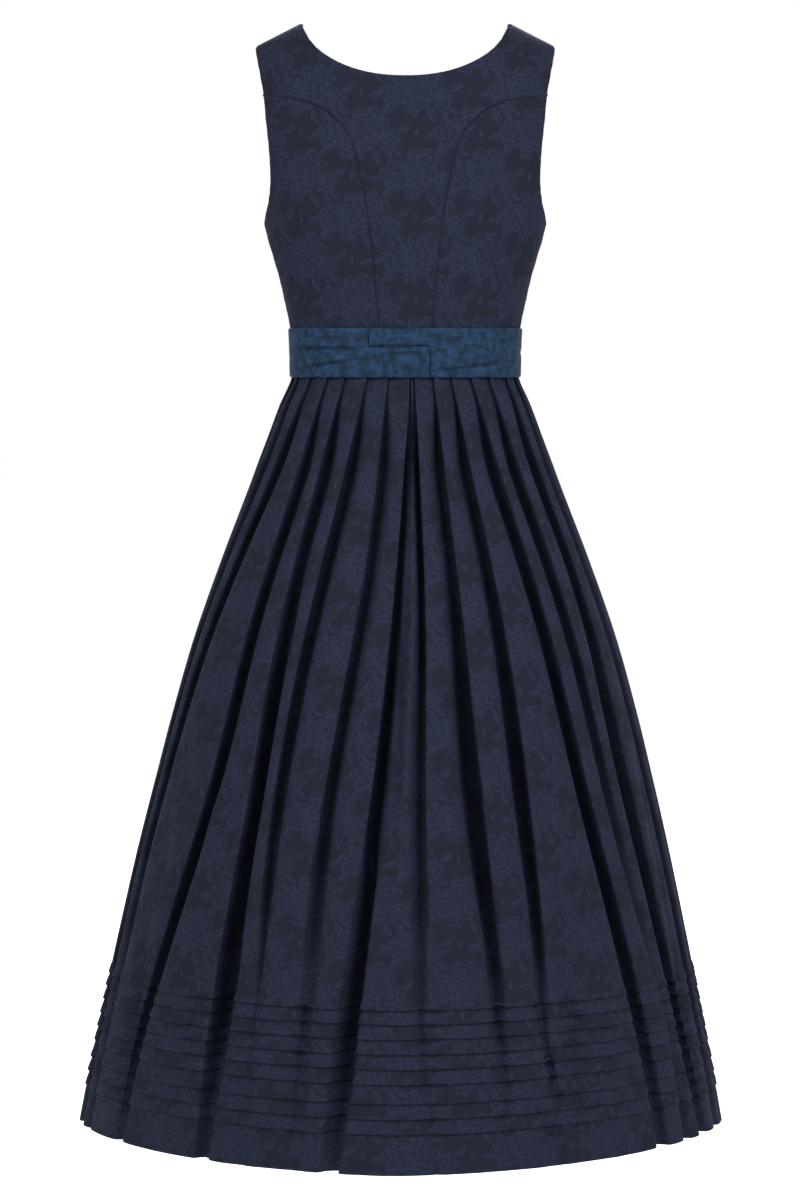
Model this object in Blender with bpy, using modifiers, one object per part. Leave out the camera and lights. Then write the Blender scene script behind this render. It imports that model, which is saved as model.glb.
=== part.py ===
"""Sleeveless long dirndl with a pleated skirt, nine hem tucks and a waist sash.

Metres, +Z up. The wearer faces +Y, so the back of the dress looks toward -Y.
The origin is midway between the shoulders, on the shoulder line that carries the dress.
"""
import math

import bmesh
import bpy
import numpy as np
from mathutils import Vector

# ---------------------------------------------------------------- driving sizes
MM = 0.001
BODICE_WALL = 1.2 * MM
SKIRT_WALL = 1.0 * MM
SASH_WALL = 1.5 * MM
HALF_SEAM = 0.16 * MM             # half the gap between two pieces at a seam

ROUNDNESS = 0.85                  # 1 is an ellipse, less is a squarer ring, more a pointed one
UNDERARM = -0.217
HEM = -1.2475

NECK_POINT = (0.117, 0.0126)      # x and height where the neckline meets the shoulder seam
SHOULDER_TIP = (0.1705, -0.015)   # x and height at the armhole end of the shoulder seam
SHOULDER_ROUND = 0.065            # height over which the cloth turns over the shoulder
BACK_NECK_LOW = -0.0526           # lowest point of the neckline behind
FRONT_NECK_LOW = -0.135           # and in front
NECK_CURVE = 2.2                  # 2 is an ellipse, more is a squarer neckline
NECK_RISE = 1.15                  # more makes it rise sooner toward the shoulder

# Where the bodice panels have their points: shares of a panel's width or height
SIDE_PANEL_COLUMNS = 6
BACK_NECK_SHARE = 0.72            # of the centre back's half width, at the neck point
BACK_COLUMNS = (0, 0.2, 0.4, 0.56, 0.65, BACK_NECK_SHARE, 0.86, 1)
BACK_UPPER_LEVELS = (0.2, 0.4, 0.6, 0.78, 0.91, 0.98, 1)
FRONT_COLUMNS = (0, 0.2, 0.4, 0.6, 0.8, 1)
FRONT_LEVEL_ROWS = 10             # seam points up to the first one level with the neckline
FRONT_ARMHOLE_ROWS = (-91, -72, -53, -37, -25, -15)   # heights of the row ends above them (mm)
FRONT_CENTRE_ROWS = (-153, -135)  # row starts on the centre front; the rest are on the neckline
FRONT_NECK_ROWS = 10

# Inner face of the bodice: height, half width, back depth, front depth (mm)
TORSO = (
    (-377, 127.3, 79.8, 91.8),
    (-335, 130.8, 80.5, 93.5),
    (-302, 137.6, 84.0, 100.0),
    (-279, 142.8, 86.5, 108.5),
    (-256, 149.4, 89.0, 118.5),
    (-233, 156.3, 91.5, 127.5),
    (-217, 160.3, 93.0, 132.0),
    (-210, 163.0, 93.7, 133.5),
    (-203, 165.2, 94.3, 134.5),
    (-192, 167.0, 95.0, 135.5),
    (-172, 168.4, 96.0, 134.0),
    (-150, 170.6, 97.0, 130.0),
    (-127, 172.4, 97.6, 123.5),
    (-108, 174.4, 98.0, 117.5),
    (-91, 176.0, 97.6, 112.5),
    (-72, 178.0, 97.0, 108.0),
    (-38, 182.0, 92.0, 98.0),
    (-15, 184.0, 86.0, 92.0),
    (13, 184.0, 84.0, 90.0),
)

# Princess seams, from the waist up to the armhole: x, height (mm)
BACK_SEAM = (
    (29.0, -377), (30.5, -335), (33.0, -300), (36.0, -265), (38.5, -241), (41.5, -217),
    (42.3, -211), (43.5, -203), (45.3, -192), (49.0, -172), (54.0, -150), (60.5, -127),
    (71.5, -108), (91.0, -91), (112.0, -81), (125.0, -78), (138.0, -75.5), (150.0, -73.6),
    (160.7, -72),
)
FRONT_SEAM = (
    (62.0, -377), (63.0, -335), (67.0, -300), (72.0, -265), (76.5, -241), (81.0, -217),
    (82.3, -211), (84.0, -203), (86.5, -192), (92.5, -172), (102.0, -152), (109.5, -140),
    (118.0, -131), (128.0, -124), (139.0, -118), (149.5, -113),
)

# Armhole edges from the shoulder tip down to the underarm: height, x behind, x in front (mm)
ARMHOLE = (
    (-217, 160.3, 160.3),
    (-211, 159.8, 160.2),
    (-203, 158.0, 157.0),
    (-192, 155.5, 154.5),
    (-172, 153.3, 152.0),
    (-150, 153.7, 150.0),
    (-127, 155.3, 149.0),
    (-108, 157.4, 150.0),
    (-91, 159.0, 152.5),
    (-72, 160.7, 156.5),
    (-50, 164.5, 162.5),
    (-27, 168.8, 168.5),
    (-15, 170.5, 170.5),
)

# Outer face of the skirt at the crests: height, half width, back depth, front depth, how far
# the middle hangs to the wearer's right (mm), roundness
SKIRT = (
    (-377.3, 130.2, 82.5, 94.5, 0.0, 0.85),
    (-392, 130.4, 83.0, 95.0, 0.0, 0.85),
    (-405, 135.5, 87.0, 99.0, 0.0, 0.85),
    (-422, 143.5, 96.0, 107.5, 0.0, 0.86),
    (-463, 158.5, 112.5, 122.5, 0.0, 0.87),
    (-515, 177.5, 133.0, 141.5, 0.0, 0.89),
    (-603, 211.5, 171.5, 176.5, 0.0, 0.92),
    (-691, 242.5, 206.5, 208.0, -0.2, 0.96),
    (-779, 267.5, 236.5, 234.0, -0.6, 1.00),
    (-850, 285.5, 259.0, 252.5, -1.2, 1.03),
    (-931, 305.5, 283.5, 273.5, -2.2, 1.07),
    (-1030, 327.5, 308.5, 295.0, -3.2, 1.11),
    (-1111, 344.5, 328.5, 312.5, -4.0, 1.14),
    (-1181, 359.0, 345.5, 327.5, -4.5, 1.16),
    (-1247.5, 371.5, 361.0, 341.0, -5.0, 1.18),
)
FOLD_LEVELS = (-392, -603, -850, -1111, -1247.5)   # heights of the five angle columns below

# Knife pleats. Angle round the waist from the centre back, + to the wearer's right, at the
# five levels (degrees), then how deep the fold is at the last four of them (mm).
FOLDS = (
    # waist   hip    knee   calf    hem   hip knee calf  hem
    (-152.5, -154.0, -156.0, -157.0, -158.0, 7, 10, 11, 7),
    (-136.0, -136.0, -136.5, -137.5, -138.0, 7, 8, 4, 2),
    (-119.5, -119.0, -118.0, -117.0, -116.5, 6, 11, 12, 7),
    (-103.5, -103.0, -103.0, -103.5, -104.0, 6, 6, 3, 2),
    (-87.0, -90.5, -91.5, -92.0, -92.5, 6, 7, 5, 3),
    (-71.0, -79.0, -82.0, -82.5, -83.0, 6, 8, 9, 6),
    (-54.5, -66.0, -73.5, -74.0, -74.0, 7, 7, 3, 2),
    (-40.5, -44.5, -47.5, -56.5, -58.0, 7, 10, 8, 5),
    (-29.0, -33.0, -33.6, -35.4, -34.5, 8, 17, 19, 10),
    (-16.5, -23.0, -26.7, -25.5, -25.0, 8, 8, 3, 1),
    (-6.6, -9.4, -14.6, -16.0, -16.5, 7, 7, 2, 1),
    (1.0, -1.6, -5.2, -9.9, -11.0, 8, 17, 22, 13),
    (3.2, 3.8, 3.1, 3.3, 4.8, 8, 6, 5, 4),
    (11.4, 12.5, 13.3, 14.7, 15.0, 8, 16, 5, 1),
    (20.5, 23.8, 24.7, 23.9, 23.5, 8, 11, 8, 5),
    (32.0, 38.5, 43.0, 50.0, 51.5, 8, 10, 12, 11),
    (44.5, 49.5, 52.0, 58.5, 60.0, 7, 5, 1, 6),
    (61.0, 63.0, 62.0, 65.5, 68.0, 8, 16, 13, 8),
    (77.0, 77.0, 76.5, 77.0, 77.5, 6, 7, 7, 5),
    (90.5, 90.5, 91.0, 92.0, 92.5, 6, 7, 4, 3),
    (106.5, 106.0, 105.5, 104.5, 104.0, 6, 10, 11, 7),
    (122.5, 122.0, 121.0, 120.5, 120.0, 6, 6, 3, 2),
    (138.5, 138.5, 138.0, 138.0, 138.0, 7, 9, 9, 6),
    (154.0, 156.0, 157.5, 159.0, 160.0, 7, 10, 12, 7),
)
RIGHT_SIDE = 2.0                  # folds past this waist angle are turned to the left
SIDE_SEAM = 80.0                  # the side seams lie in the first pleat face past this angle
FOLD_POINTS = 5                   # ring points a fold takes
FRONT_PANEL = (-176.0, -167.0, 167.0, 176.0)   # extra points over the flat centre front

# A pressed pleat at the waist, along the ring toward the centre back and inward (mm)
PLEAT_OVERLAP = 1.5
PLEAT_TURN = (1.0, 2.0)
PLEAT_VALLEY_DEPTH = 3.7
PLEAT_FAR = (3.0, 4.4)
PLEAT_MID_DEPTH = 2.4
PLEAT_OPEN = (-0.392, -0.53)      # heights between which the pressed pleats open

# A fold hanging open: shares of its width along the ring and of its depth inward
PLEAT_FACE = 0.6                  # a pressed pleat's last point, as a share of the room it has
FOLD_WIDTH = (6.0, 0.8)           # its width: this many mm, and this share of its depth
FOLD_ROOM = 0.55                  # most of the room to the next fold that it takes
FOLD_CROWDED = 1.3                # room in widths under which the cloth between stays deep
FOLD_TURN = (0.14, 0.5)
FOLD_VALLEY = 0.4
FOLD_FAR_DEPTH = 0.25
MITRE_LIMIT = 1.5                 # most that a sharp fold's corner reaches, in wall thicknesses
FACE_SWELL = 1.5                  # how far a face stands out between two open folds

# Heights of the wall's rows down to the tucks, then of its plain inner rows behind them (mm)
SKIRT_ROWS = (-377.3, -392, -410, -435, -475, -530, -603, -715, -850, -980)
INNER_ROWS = (-1090, -1125, -1165, -1207)

# Tucks: heights above the hem (mm)
TUCKS = (173, 158, 142.5, 126.5, 111, 95, 75, 59, 43)
TUCK_PROUD = 1.6 * MM
TUCK_EDGE = (0.4 * MM, -0.7 * MM)  # the lip stands above its height, the wall below it

# Sash: height, half width, back depth, front depth of its inner face (mm)
SASH = (
    (-391.5, 131.2, 83.9, 95.9),
    (-377, 131.4, 84.0, 96.0),
    (-354, 131.9, 84.0, 96.4),
    (-335.5, 132.8, 82.6, 95.6),
)
SASH_LEFT_END = 0.0265            # x where the left end stops, over the right one
SASH_RIGHT_END = -0.0395          # x where the right end stops, over the left one
SASH_STEP = 0.632                 # share of the height where the two ends meet
SASH_RAISE = 1.7 * MM             # how far each end stands over the layer below
SASH_LEVELS = (0, 0.3, SASH_STEP, 0.8, 1)
SASH_COLUMNS = 36                 # round the body
SASH_END_STEPS = 4                # along each lapping end

COTTON = ("navy_damask", "#2B3044", 0.85)
SATIN = ("petrol_satin", "#33435C", 0.5)


# ---------------------------------------------------------------- shared functions
def read(table, key, column):
    """Smooth value of a table's column at a key, by a curve through its rows."""
    rows = sorted(table)
    keys = [row[0] for row in rows]
    key = min(max(key, keys[0]), keys[-1])
    at = max(i for i in range(len(keys) - 1) if keys[i] <= key)
    step = keys[at + 1] - keys[at]
    share = (key - keys[at]) / step

    def slope(i):
        low, high = max(i - 1, 0), min(i + 1, len(rows) - 1)
        return (rows[high][column] - rows[low][column]) / (keys[high] - keys[low])

    start, end = rows[at][column], rows[at + 1][column]
    return ((2 * share**3 - 3 * share**2 + 1) * start + (3 * share**2 - 2 * share**3) * end
            + (share**3 - 2 * share**2 + share) * step * slope(at)
            + (share**3 - share**2) * step * slope(at + 1))


def ring_point(table, angle, height):
    """Point of a body ring: angle in radians from the centre back, + toward +X."""
    key = height / MM
    sine, cosine = math.sin(angle), math.cos(angle)
    depth = read(table, key, 2 if cosine > 0 else 3) * MM
    across = abs(sine) ** ROUNDNESS
    hangs = len(table[0]) > 4       # the skirt leans a little and gets less square lower down
    lean, roundness = (read(table, key, 4), read(table, key, 5)) if hangs else (0.0, ROUNDNESS)
    back = max(1 - across ** (2 / roundness), 0.0) ** (roundness / 2)
    x = read(table, key, 1) * MM * math.copysign(across, sine) + lean * MM
    return Vector((x, -depth * math.copysign(back, cosine), height))


def angle_at(x, height, table=TORSO):
    """Angle from the centre back at which a body ring has this x."""
    share = min(abs(x) / (read(table, height / MM, 1) * MM), 1.0)
    return math.copysign(math.asin(share ** (1 / ROUNDNESS)), x)


def over_shoulder(point):
    """Draw a torso point in toward the shoulder line as it comes near it."""
    slope = (SHOULDER_TIP[1] - NECK_POINT[1]) / (SHOULDER_TIP[0] - NECK_POINT[0])
    line = NECK_POINT[1] + slope * (abs(point.x) - NECK_POINT[0])
    below = min(max((line - point.z) / SHOULDER_ROUND, 0.0), 1.0)
    point.y *= math.sqrt(1 - (1 - below) ** 2)
    return point


def torso_point(angle, height):
    return over_shoulder(ring_point(TORSO, angle, height))


def blend(start, end, share):
    return start + (end - start) * share


def seam_line(table, side):
    """A seam as (x, height) in metres, moved half a seam gap toward -1 or +1 in x."""
    line = [Vector((x * MM, z * MM)) for x, z in table]
    moved = []
    for i, point in enumerate(line):
        along = line[min(i + 1, len(line) - 1)] - line[max(i - 1, 0)]
        across = Vector((along.y, -along.x)).normalized()
        moved.append(point + across * HALF_SEAM * side)
    return moved


def armhole_x(height, column):
    return read(ARMHOLE, height / MM, column) * MM


def neckline_point(share, low):
    """(x, height) on the neckline, a share of the way round it from its lowest point."""
    turn = share * math.pi / 2
    across = math.sin(turn) ** (2 / NECK_CURVE)
    rise = 1 - abs(math.cos(turn)) ** NECK_RISE
    return Vector((NECK_POINT[0] * across, blend(low, NECK_POINT[1], rise)))


def back_top_edge(share):
    """Neckline, then shoulder seam, as (x, height) by the share of the panel's width."""
    if share <= BACK_NECK_SHARE:
        turn = math.asin((share / BACK_NECK_SHARE) ** (NECK_CURVE / 2))
        return neckline_point(turn / (math.pi / 2), BACK_NECK_LOW)
    part = (share - BACK_NECK_SHARE) / (1 - BACK_NECK_SHARE)
    return Vector(NECK_POINT).lerp(Vector(SHOULDER_TIP), part)


# ---------------------------------------------------------------- making objects
def clear_scene():
    for thing in list(bpy.data.objects):
        bpy.data.objects.remove(thing, do_unlink=True)


def cloth_material(name, colour, roughness):
    material = bpy.data.materials.get(name) or bpy.data.materials.new(name)
    material.use_nodes = True
    shader = material.node_tree.nodes["Principled BSDF"]
    parts = [int(colour[i:i + 2], 16) / 255 for i in (1, 3, 5)]
    linear = [((c + 0.055) / 1.055) ** 2.4 if c > 0.04045 else c / 12.92 for c in parts]
    shader.inputs["Base Color"].default_value = (*linear, 1)
    shader.inputs["Roughness"].default_value = roughness
    shader.inputs["Metallic"].default_value = 0.0
    return material


def add_object(name, bm, finish, dress):
    mesh = bpy.data.meshes.new(name)
    bm.to_mesh(mesh)
    bm.free()
    mesh.materials.append(cloth_material(*finish))
    piece = bpy.data.objects.new(name, mesh)
    dress["collection"].objects.link(piece)
    piece.parent = dress["origin"]
    return piece


def grid_mesh(rows, merge=True):
    """A grid through rows of points, its faces turned away from the body's axis."""
    bm = bmesh.new()
    columns = len(rows[0])
    bmesh.ops.create_grid(bm, x_segments=columns - 1, y_segments=len(rows) - 1, size=1)
    bm.verts.ensure_lookup_table()
    for i, row in enumerate(rows):
        for j, point in enumerate(row):
            bm.verts[i * columns + j].co = point
    bm.normal_update()
    outward = sum(face.normal.dot(face.calc_center_median() - body_axis(face))
                  * face.calc_area() for face in bm.faces)
    if outward < 0:
        bmesh.ops.reverse_faces(bm, faces=bm.faces)
    if merge:                       # a panel that ends in a point
        bmesh.ops.remove_doubles(bm, verts=bm.verts, dist=1e-6)
    return bm


def body_axis(face):
    """Point of the body's axis level with a face, a little lower near the shoulders."""
    return Vector((0, 0.02, face.calc_center_median().z - 0.03))


def add_wall(piece, thickness):
    """Give an open sheet its cloth thickness, outward."""
    solidify = piece.modifiers.new("cloth thickness", "SOLIDIFY")
    solidify.thickness = thickness
    solidify.offset = 1


# ---------------------------------------------------------------- bodice
def panel_rows(seam, outer_angle, columns, front):
    """Rows of a side panel, from its princess seam to the side seam or the armhole."""
    rows = []
    for point in seam:
        start = angle_at(point.x, point.y)
        end = max(outer_angle(point.y), start)
        angles = [blend(start, end, j / (columns - 1)) for j in range(columns)]
        if front:
            angles = [math.pi - angle for angle in angles]
        rows.append([torso_point(angle, point.y) for angle in angles])
    return rows


def side_angle(column):
    """Function giving where a side panel ends: its side seam, then its armhole."""
    def angle(height):
        if height <= UNDERARM:
            return math.pi / 2 - HALF_SEAM / (TORSO[0][2] * MM)
        return min(angle_at(armhole_x(height, column), height), math.pi / 2)
    return angle


def mirrored(rows):
    return [[Vector((-p.x, p.y, p.z)) for p in row] for row in rows]


def add_side_panels(dress):
    for name, table, column, front in (("bodice_side_back", BACK_SEAM, 1, False),
                                       ("bodice_side_front", FRONT_SEAM, 2, True)):
        rows = panel_rows(seam_line(table, 1), side_angle(column), SIDE_PANEL_COLUMNS, front)
        for side, points in (("right", rows), ("left", mirrored(rows))):
            bm = grid_mesh(points)
            add_wall(add_object(f"{name}_{side}", bm, COTTON, dress), BODICE_WALL)


def lower_rows(seam, shares, front):
    """Level rows between the centre line and a princess seam, by shares of the width."""
    rows = []
    for point in seam:
        angles = [angle_at(point.x * share, point.y) for share in shares]
        if front:
            angles = [math.pi - angle for angle in angles]
        rows.append([torso_point(angle, point.y) for angle in angles])
    return rows


def flat_to_torso(point, front):
    angle = angle_at(point.x, point.y)
    placed = torso_point(math.pi - angle if front else angle, point.y)
    placed.x = point.x
    return placed


def add_back(dress):
    """Centre back in one piece: level rows, then a fan up to the neckline and shoulders."""
    shares = [-s for s in reversed(BACK_COLUMNS[1:])] + list(BACK_COLUMNS)
    seam = seam_line(BACK_SEAM, -1)
    rows = lower_rows(seam, shares, False)
    base = seam[-1]
    for level in BACK_UPPER_LEVELS:
        row = []
        for share in shares:
            low = Vector((base.x * abs(share), base.y))
            high = back_top_edge(abs(share))
            flat = low.lerp(high, level)
            if abs(share) == 1:
                flat.x = armhole_x(flat.y, 1)
            point = flat_to_torso(Vector((math.copysign(flat.x, share), flat.y)), False)
            if level == 1 and abs(share) >= BACK_NECK_SHARE:
                point.y -= HALF_SEAM
            row.append(point)
        rows.append(row)
    bm = grid_mesh(rows)
    add_wall(add_object("bodice_back", bm, COTTON, dress), BODICE_WALL)


def add_fronts(dress):
    """Two fronts that meet edge to edge down the centre, under a round neckline."""
    seam = seam_line(FRONT_SEAM, -1)
    rows = lower_rows(seam[:FRONT_LEVEL_ROWS], FRONT_COLUMNS, True)
    outer = seam[FRONT_LEVEL_ROWS:]
    outer += [Vector((armhole_x(z * MM, 2), z * MM)) for z in FRONT_ARMHOLE_ROWS]
    inner = [Vector((0, z * MM)) for z in FRONT_CENTRE_ROWS]
    inner += [neckline_point((k + 1) / FRONT_NECK_ROWS, FRONT_NECK_LOW)
              for k in range(FRONT_NECK_ROWS)]
    for start, end in zip(inner, outer):
        rows.append([flat_to_torso(start.lerp(end, share), True) for share in FRONT_COLUMNS])
    for row in rows:
        row[0].x = max(row[0].x, HALF_SEAM)
    for point in rows[-1]:
        point.y += HALF_SEAM        # shoulder seam
    for side, points in (("right", rows), ("left", mirrored(rows))):
        bm = grid_mesh(points)
        add_wall(add_object(f"bodice_front_{side}", bm, COTTON, dress), BODICE_WALL)


# ---------------------------------------------------------------- skirt
def fold_angle(fold, height):
    levels = [(level, fold[i]) for i, level in enumerate(FOLD_LEVELS)]
    return math.radians(read(levels, height / MM, 1))


def fold_depth(fold, height):
    levels = [(level, fold[len(FOLD_LEVELS) + i]) for i, level in enumerate(FOLD_LEVELS[1:])]
    return max(read(levels, height / MM, 1), 0.0)


def pleat_closed(height):
    """1 where the pleats are pressed shut, 0 where they hang open."""
    share = (PLEAT_OPEN[0] - height) / (PLEAT_OPEN[0] - PLEAT_OPEN[1])
    share = min(max(share, 0.0), 1.0)
    return 1 - share * share * (3 - 2 * share)


def ring_step(angle, height):
    """Metres of ring for each radian at an angle."""
    nudge = 0.01
    ahead = ring_point(SKIRT, angle + nudge, height)
    return (ahead - ring_point(SKIRT, angle - nudge, height)).length / (2 * nudge)


def fold_points(fold, room, height):
    """Crest, turn, valley, far side and face of one pleat: angle and inward depth (mm)."""
    crest = fold_angle(fold, height)
    toward_back = 1 if fold[0] < RIGHT_SIDE else -1
    closed = pleat_closed(height)
    depth = fold_depth(fold, height)
    wanted = FOLD_WIDTH[0] + FOLD_WIDTH[1] * depth
    free = room / MM
    width = min(wanted, FOLD_ROOM * free)
    crowded = max(0.0, 1 - free / (FOLD_CROWDED * wanted))

    def mix(shut, hanging):
        return closed * shut + (1 - closed) * hanging

    along = (0, mix(PLEAT_TURN[0], FOLD_TURN[0] * width),
             mix(-PLEAT_OVERLAP, FOLD_VALLEY * width),
             mix(min(PLEAT_FAR[0], free / 2), width),
             mix(PLEAT_FACE * free, (width + free) / 2))
    inward = (0, mix(PLEAT_TURN[1], FOLD_TURN[1] * depth), mix(PLEAT_VALLEY_DEPTH, depth),
              mix(PLEAT_FAR[1], blend(FOLD_FAR_DEPTH, 1, crowded) * depth),
              mix(PLEAT_MID_DEPTH, blend(-FACE_SWELL, depth, crowded)))
    scale = toward_back * MM / ring_step(crest, height)
    points = [(crest + s * scale, r) for s, r in zip(along, inward)]
    return points if toward_back > 0 else points[::-1]


def skirt_ring(height):
    """All the way round at one height: angle and inward depth of each point."""
    crests = [fold_angle(fold, height) for fold in FOLDS]
    points = [(math.radians(a), 0.0) for a in FRONT_PANEL if a < 0]
    for i, fold in enumerate(FOLDS):
        ahead = i + 1 if FOLDS[i][0] < RIGHT_SIDE else i - 1
        room = abs(crests[ahead] - crests[i]) * ring_step(crests[i], height)
        if (FOLDS[ahead][0] < RIGHT_SIDE) != (FOLDS[i][0] < RIGHT_SIDE):
            room /= 2               # the two folds of the centre back face each other
        points += fold_points(fold, room, height)
    return points + [(math.radians(a), 0.0) for a in FRONT_PANEL if a > 0]


def place(points, height):
    """Ring points in space: each is moved in along the ring's own normal."""
    placed = []
    for angle, inward in points:
        base = ring_point(SKIRT, angle, height)
        nudge = 0.01
        along = ring_point(SKIRT, angle + nudge, height) - ring_point(SKIRT, angle - nudge, height)
        normal = Vector((along.y, -along.x, 0)).normalized()
        placed.append(base - normal * inward * MM)
    return placed


def wall_offset(points, distance):
    """A closed ring moved square to itself, in when positive, with short corners."""
    moved = []
    for i, point in enumerate(points):
        sides = []
        for start, end in ((points[i - 1], point), (point, points[(i + 1) % len(points)])):
            step = end - start
            sides.append(Vector((-step.y, step.x, 0)).normalized())
        normal = (sides[0] + sides[1]).normalized()
        reach = min(1 / max(normal.dot(sides[0]), 0.1), MITRE_LIMIT)
        moved.append(point + normal * distance * reach)
    return moved


def skirt_heights():
    """Outer wall rows as (height, tuck standing out), and the rows the inner wall keeps."""
    plain = [z * MM for z in SKIRT_ROWS]
    outer = [(z, 0.0) for z in plain]
    for rise in TUCKS:
        lip = HEM + rise * MM
        outer += [(lip + TUCK_EDGE[0], TUCK_PROUD), (lip + TUCK_EDGE[1], 0.0)]
    outer.append((HEM, 0.0))
    inner = plain + [z * MM for z in INNER_ROWS] + [HEM]
    return outer, inner


def loft_wall(outer, inner, outer_heights, inner_heights):
    """Closed wall between two sheets of points that have the same columns."""
    bm = bmesh.new()
    outside = [[bm.verts.new(p) for p in row] for row in outer]
    inside = [[bm.verts.new(p) for p in row] for row in inner]
    columns = len(outer[0])
    for sheet in (outside, inside):
        for i in range(len(sheet) - 1):
            for j in range(columns - 1):
                corners = (sheet[i][j], sheet[i + 1][j], sheet[i + 1][j + 1], sheet[i][j + 1])
                bm.faces.new(corners if sheet is outside else corners[::-1])
    for j in range(columns - 1):
        bm.faces.new((outside[0][j], outside[0][j + 1], inside[0][j + 1], inside[0][j]))
        bm.faces.new((outside[-1][j + 1], outside[-1][j], inside[-1][j], inside[-1][j + 1]))
    for column, turned in ((0, False), (columns - 1, True)):
        for i in range(len(inside) - 1):
            high, low = inner_heights[i], inner_heights[i + 1]
            first = max(k for k, z in enumerate(outer_heights) if z >= high - 1e-6)
            last = max(k for k, z in enumerate(outer_heights) if z >= low - 1e-6)
            edge = [outside[k][column] for k in range(first, last + 1)]
            loop = [inside[i][column]] + edge + [inside[i + 1][column]]
            loop = loop[::-1] if not turned else loop
            bm.faces.new(loop)
    bmesh.ops.recalc_face_normals(bm, faces=bm.faces)
    return bm


def add_skirt(dress):
    """Back and front widths, joined at the sides in the middle of a pleat's face."""
    outer_rows, inner_heights = skirt_heights()
    rings = {z: place(skirt_ring(z), z) for z in {h for h, _ in outer_rows} | set(inner_heights)}
    outer = [wall_offset(rings[z], -proud) for z, proud in outer_rows]
    inner = [wall_offset(rings[z], SKIRT_WALL) for z in inner_heights]
    heights = [z for z, _ in outer_rows]

    front_points = sum(1 for a in FRONT_PANEL if a < 0)
    left_folds = sum(1 for fold in FOLDS if fold[0] < -SIDE_SEAM)
    right_folds = sum(1 for fold in FOLDS if fold[0] < SIDE_SEAM)
    left = front_points + left_folds * FOLD_POINTS - 1
    right = front_points + right_folds * FOLD_POINTS
    count = len(outer[0])
    columns = {"skirt_back": list(range(left, right + 1)),
               "skirt_front": list(range(right, count)) + list(range(left + 1))}
    for name, chosen in columns.items():
        sheets = []
        for sheet in (outer, inner):
            rows = []
            for row in sheet:
                points = [row[j].copy() for j in chosen]
                for end, neighbour in ((0, 1), (-1, -2)):
                    step = (points[neighbour] - points[end]).normalized()
                    points[end] += step * HALF_SEAM
                rows.append(points)
            sheets.append(rows)
        bm = loft_wall(*sheets, heights, inner_heights)
        add_object(name, bm, COTTON, dress)


# ---------------------------------------------------------------- sash
def add_sash(dress):
    """One band round the waist whose stepped ends interlock behind."""
    low, high = SASH[0][0] * MM, SASH[-1][0] * MM
    left_end, right_end = (angle_at(x, low, SASH) for x in (SASH_LEFT_END, SASH_RIGHT_END))
    tongue = [blend(left_end, right_end, k / SASH_END_STEPS) for k in range(SASH_END_STEPS + 1)]
    round_body = list(np.linspace(right_end, left_end - 2 * math.pi, SASH_COLUMNS))[1:-1]
    # from the left end, over the back to the left, round the front, to the right end
    angles = tongue + round_body + [a - 2 * math.pi for a in tongue]
    rows = []
    for level in SASH_LEVELS:
        row = []
        for j, angle in enumerate(angles):
            in_left = j < len(tongue)
            in_right = j >= len(angles) - len(tongue)
            share = level
            if level == SASH_STEP and (in_left or in_right):
                share += (-1 if in_left else 1) * HALF_SEAM / (high - low)
            if in_left:
                lift = (angle - right_end) / (left_end - right_end)
            elif in_right:
                lift = (left_end - 2 * math.pi - angle) / (left_end - right_end)
            else:
                lift = 0
            point = ring_point(SASH, angle, blend(low, high, share))
            outward = Vector((point.x, point.y, 0)).normalized()
            point += outward * lift * SASH_RAISE
            if j == 0 or j == len(angles) - 1:
                point.x += HALF_SEAM * (-1 if j == 0 else 1)
            row.append(point)
        rows.append(row)
    bm = grid_mesh(rows, merge=False)
    bm.verts.index_update()
    step = blend(low, high, SASH_STEP)
    dropped = []
    for face in bm.faces:
        columns = [vert.index % len(angles) for vert in face.verts]
        upper = face.calc_center_median().z > step
        if max(columns) < len(tongue) and upper:
            dropped.append(face)
        if min(columns) >= len(angles) - len(tongue) and not upper:
            dropped.append(face)
    bmesh.ops.delete(bm, geom=dropped, context="FACES")
    add_wall(add_object("sash", bm, SATIN, dress), SASH_WALL)


def main():
    clear_scene()
    collection = bpy.data.collections.get("dirndl") or bpy.data.collections.new("dirndl")
    if collection.name not in bpy.context.scene.collection.children:
        bpy.context.scene.collection.children.link(collection)
    origin = bpy.data.objects.new("shoulder_line", None)
    collection.objects.link(origin)
    dress = {"collection": collection, "origin": origin}
    add_back(dress)
    add_side_panels(dress)
    add_fronts(dress)
    add_skirt(dress)
    add_sash(dress)


main()
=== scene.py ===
import math
import bmesh
import bpy
import numpy as np
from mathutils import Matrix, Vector


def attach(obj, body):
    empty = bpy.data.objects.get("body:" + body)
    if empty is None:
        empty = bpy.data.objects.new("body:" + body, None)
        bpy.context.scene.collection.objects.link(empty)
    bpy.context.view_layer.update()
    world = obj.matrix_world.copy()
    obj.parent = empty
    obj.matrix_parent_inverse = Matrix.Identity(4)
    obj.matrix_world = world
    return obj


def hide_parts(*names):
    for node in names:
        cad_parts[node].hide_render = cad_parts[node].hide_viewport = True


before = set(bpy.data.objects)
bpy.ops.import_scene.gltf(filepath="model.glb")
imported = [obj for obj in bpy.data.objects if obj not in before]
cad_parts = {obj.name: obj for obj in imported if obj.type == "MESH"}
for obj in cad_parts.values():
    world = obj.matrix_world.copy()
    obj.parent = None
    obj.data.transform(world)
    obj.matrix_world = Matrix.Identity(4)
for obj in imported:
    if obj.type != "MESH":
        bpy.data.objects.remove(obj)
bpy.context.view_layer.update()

mm = 0.001
roundness = 0.85                # 1 would make every ring of the body an ellipse
creaseFade = 0.6                # how gently a crease runs out at its ends


# ---- reading the size tables

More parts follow.
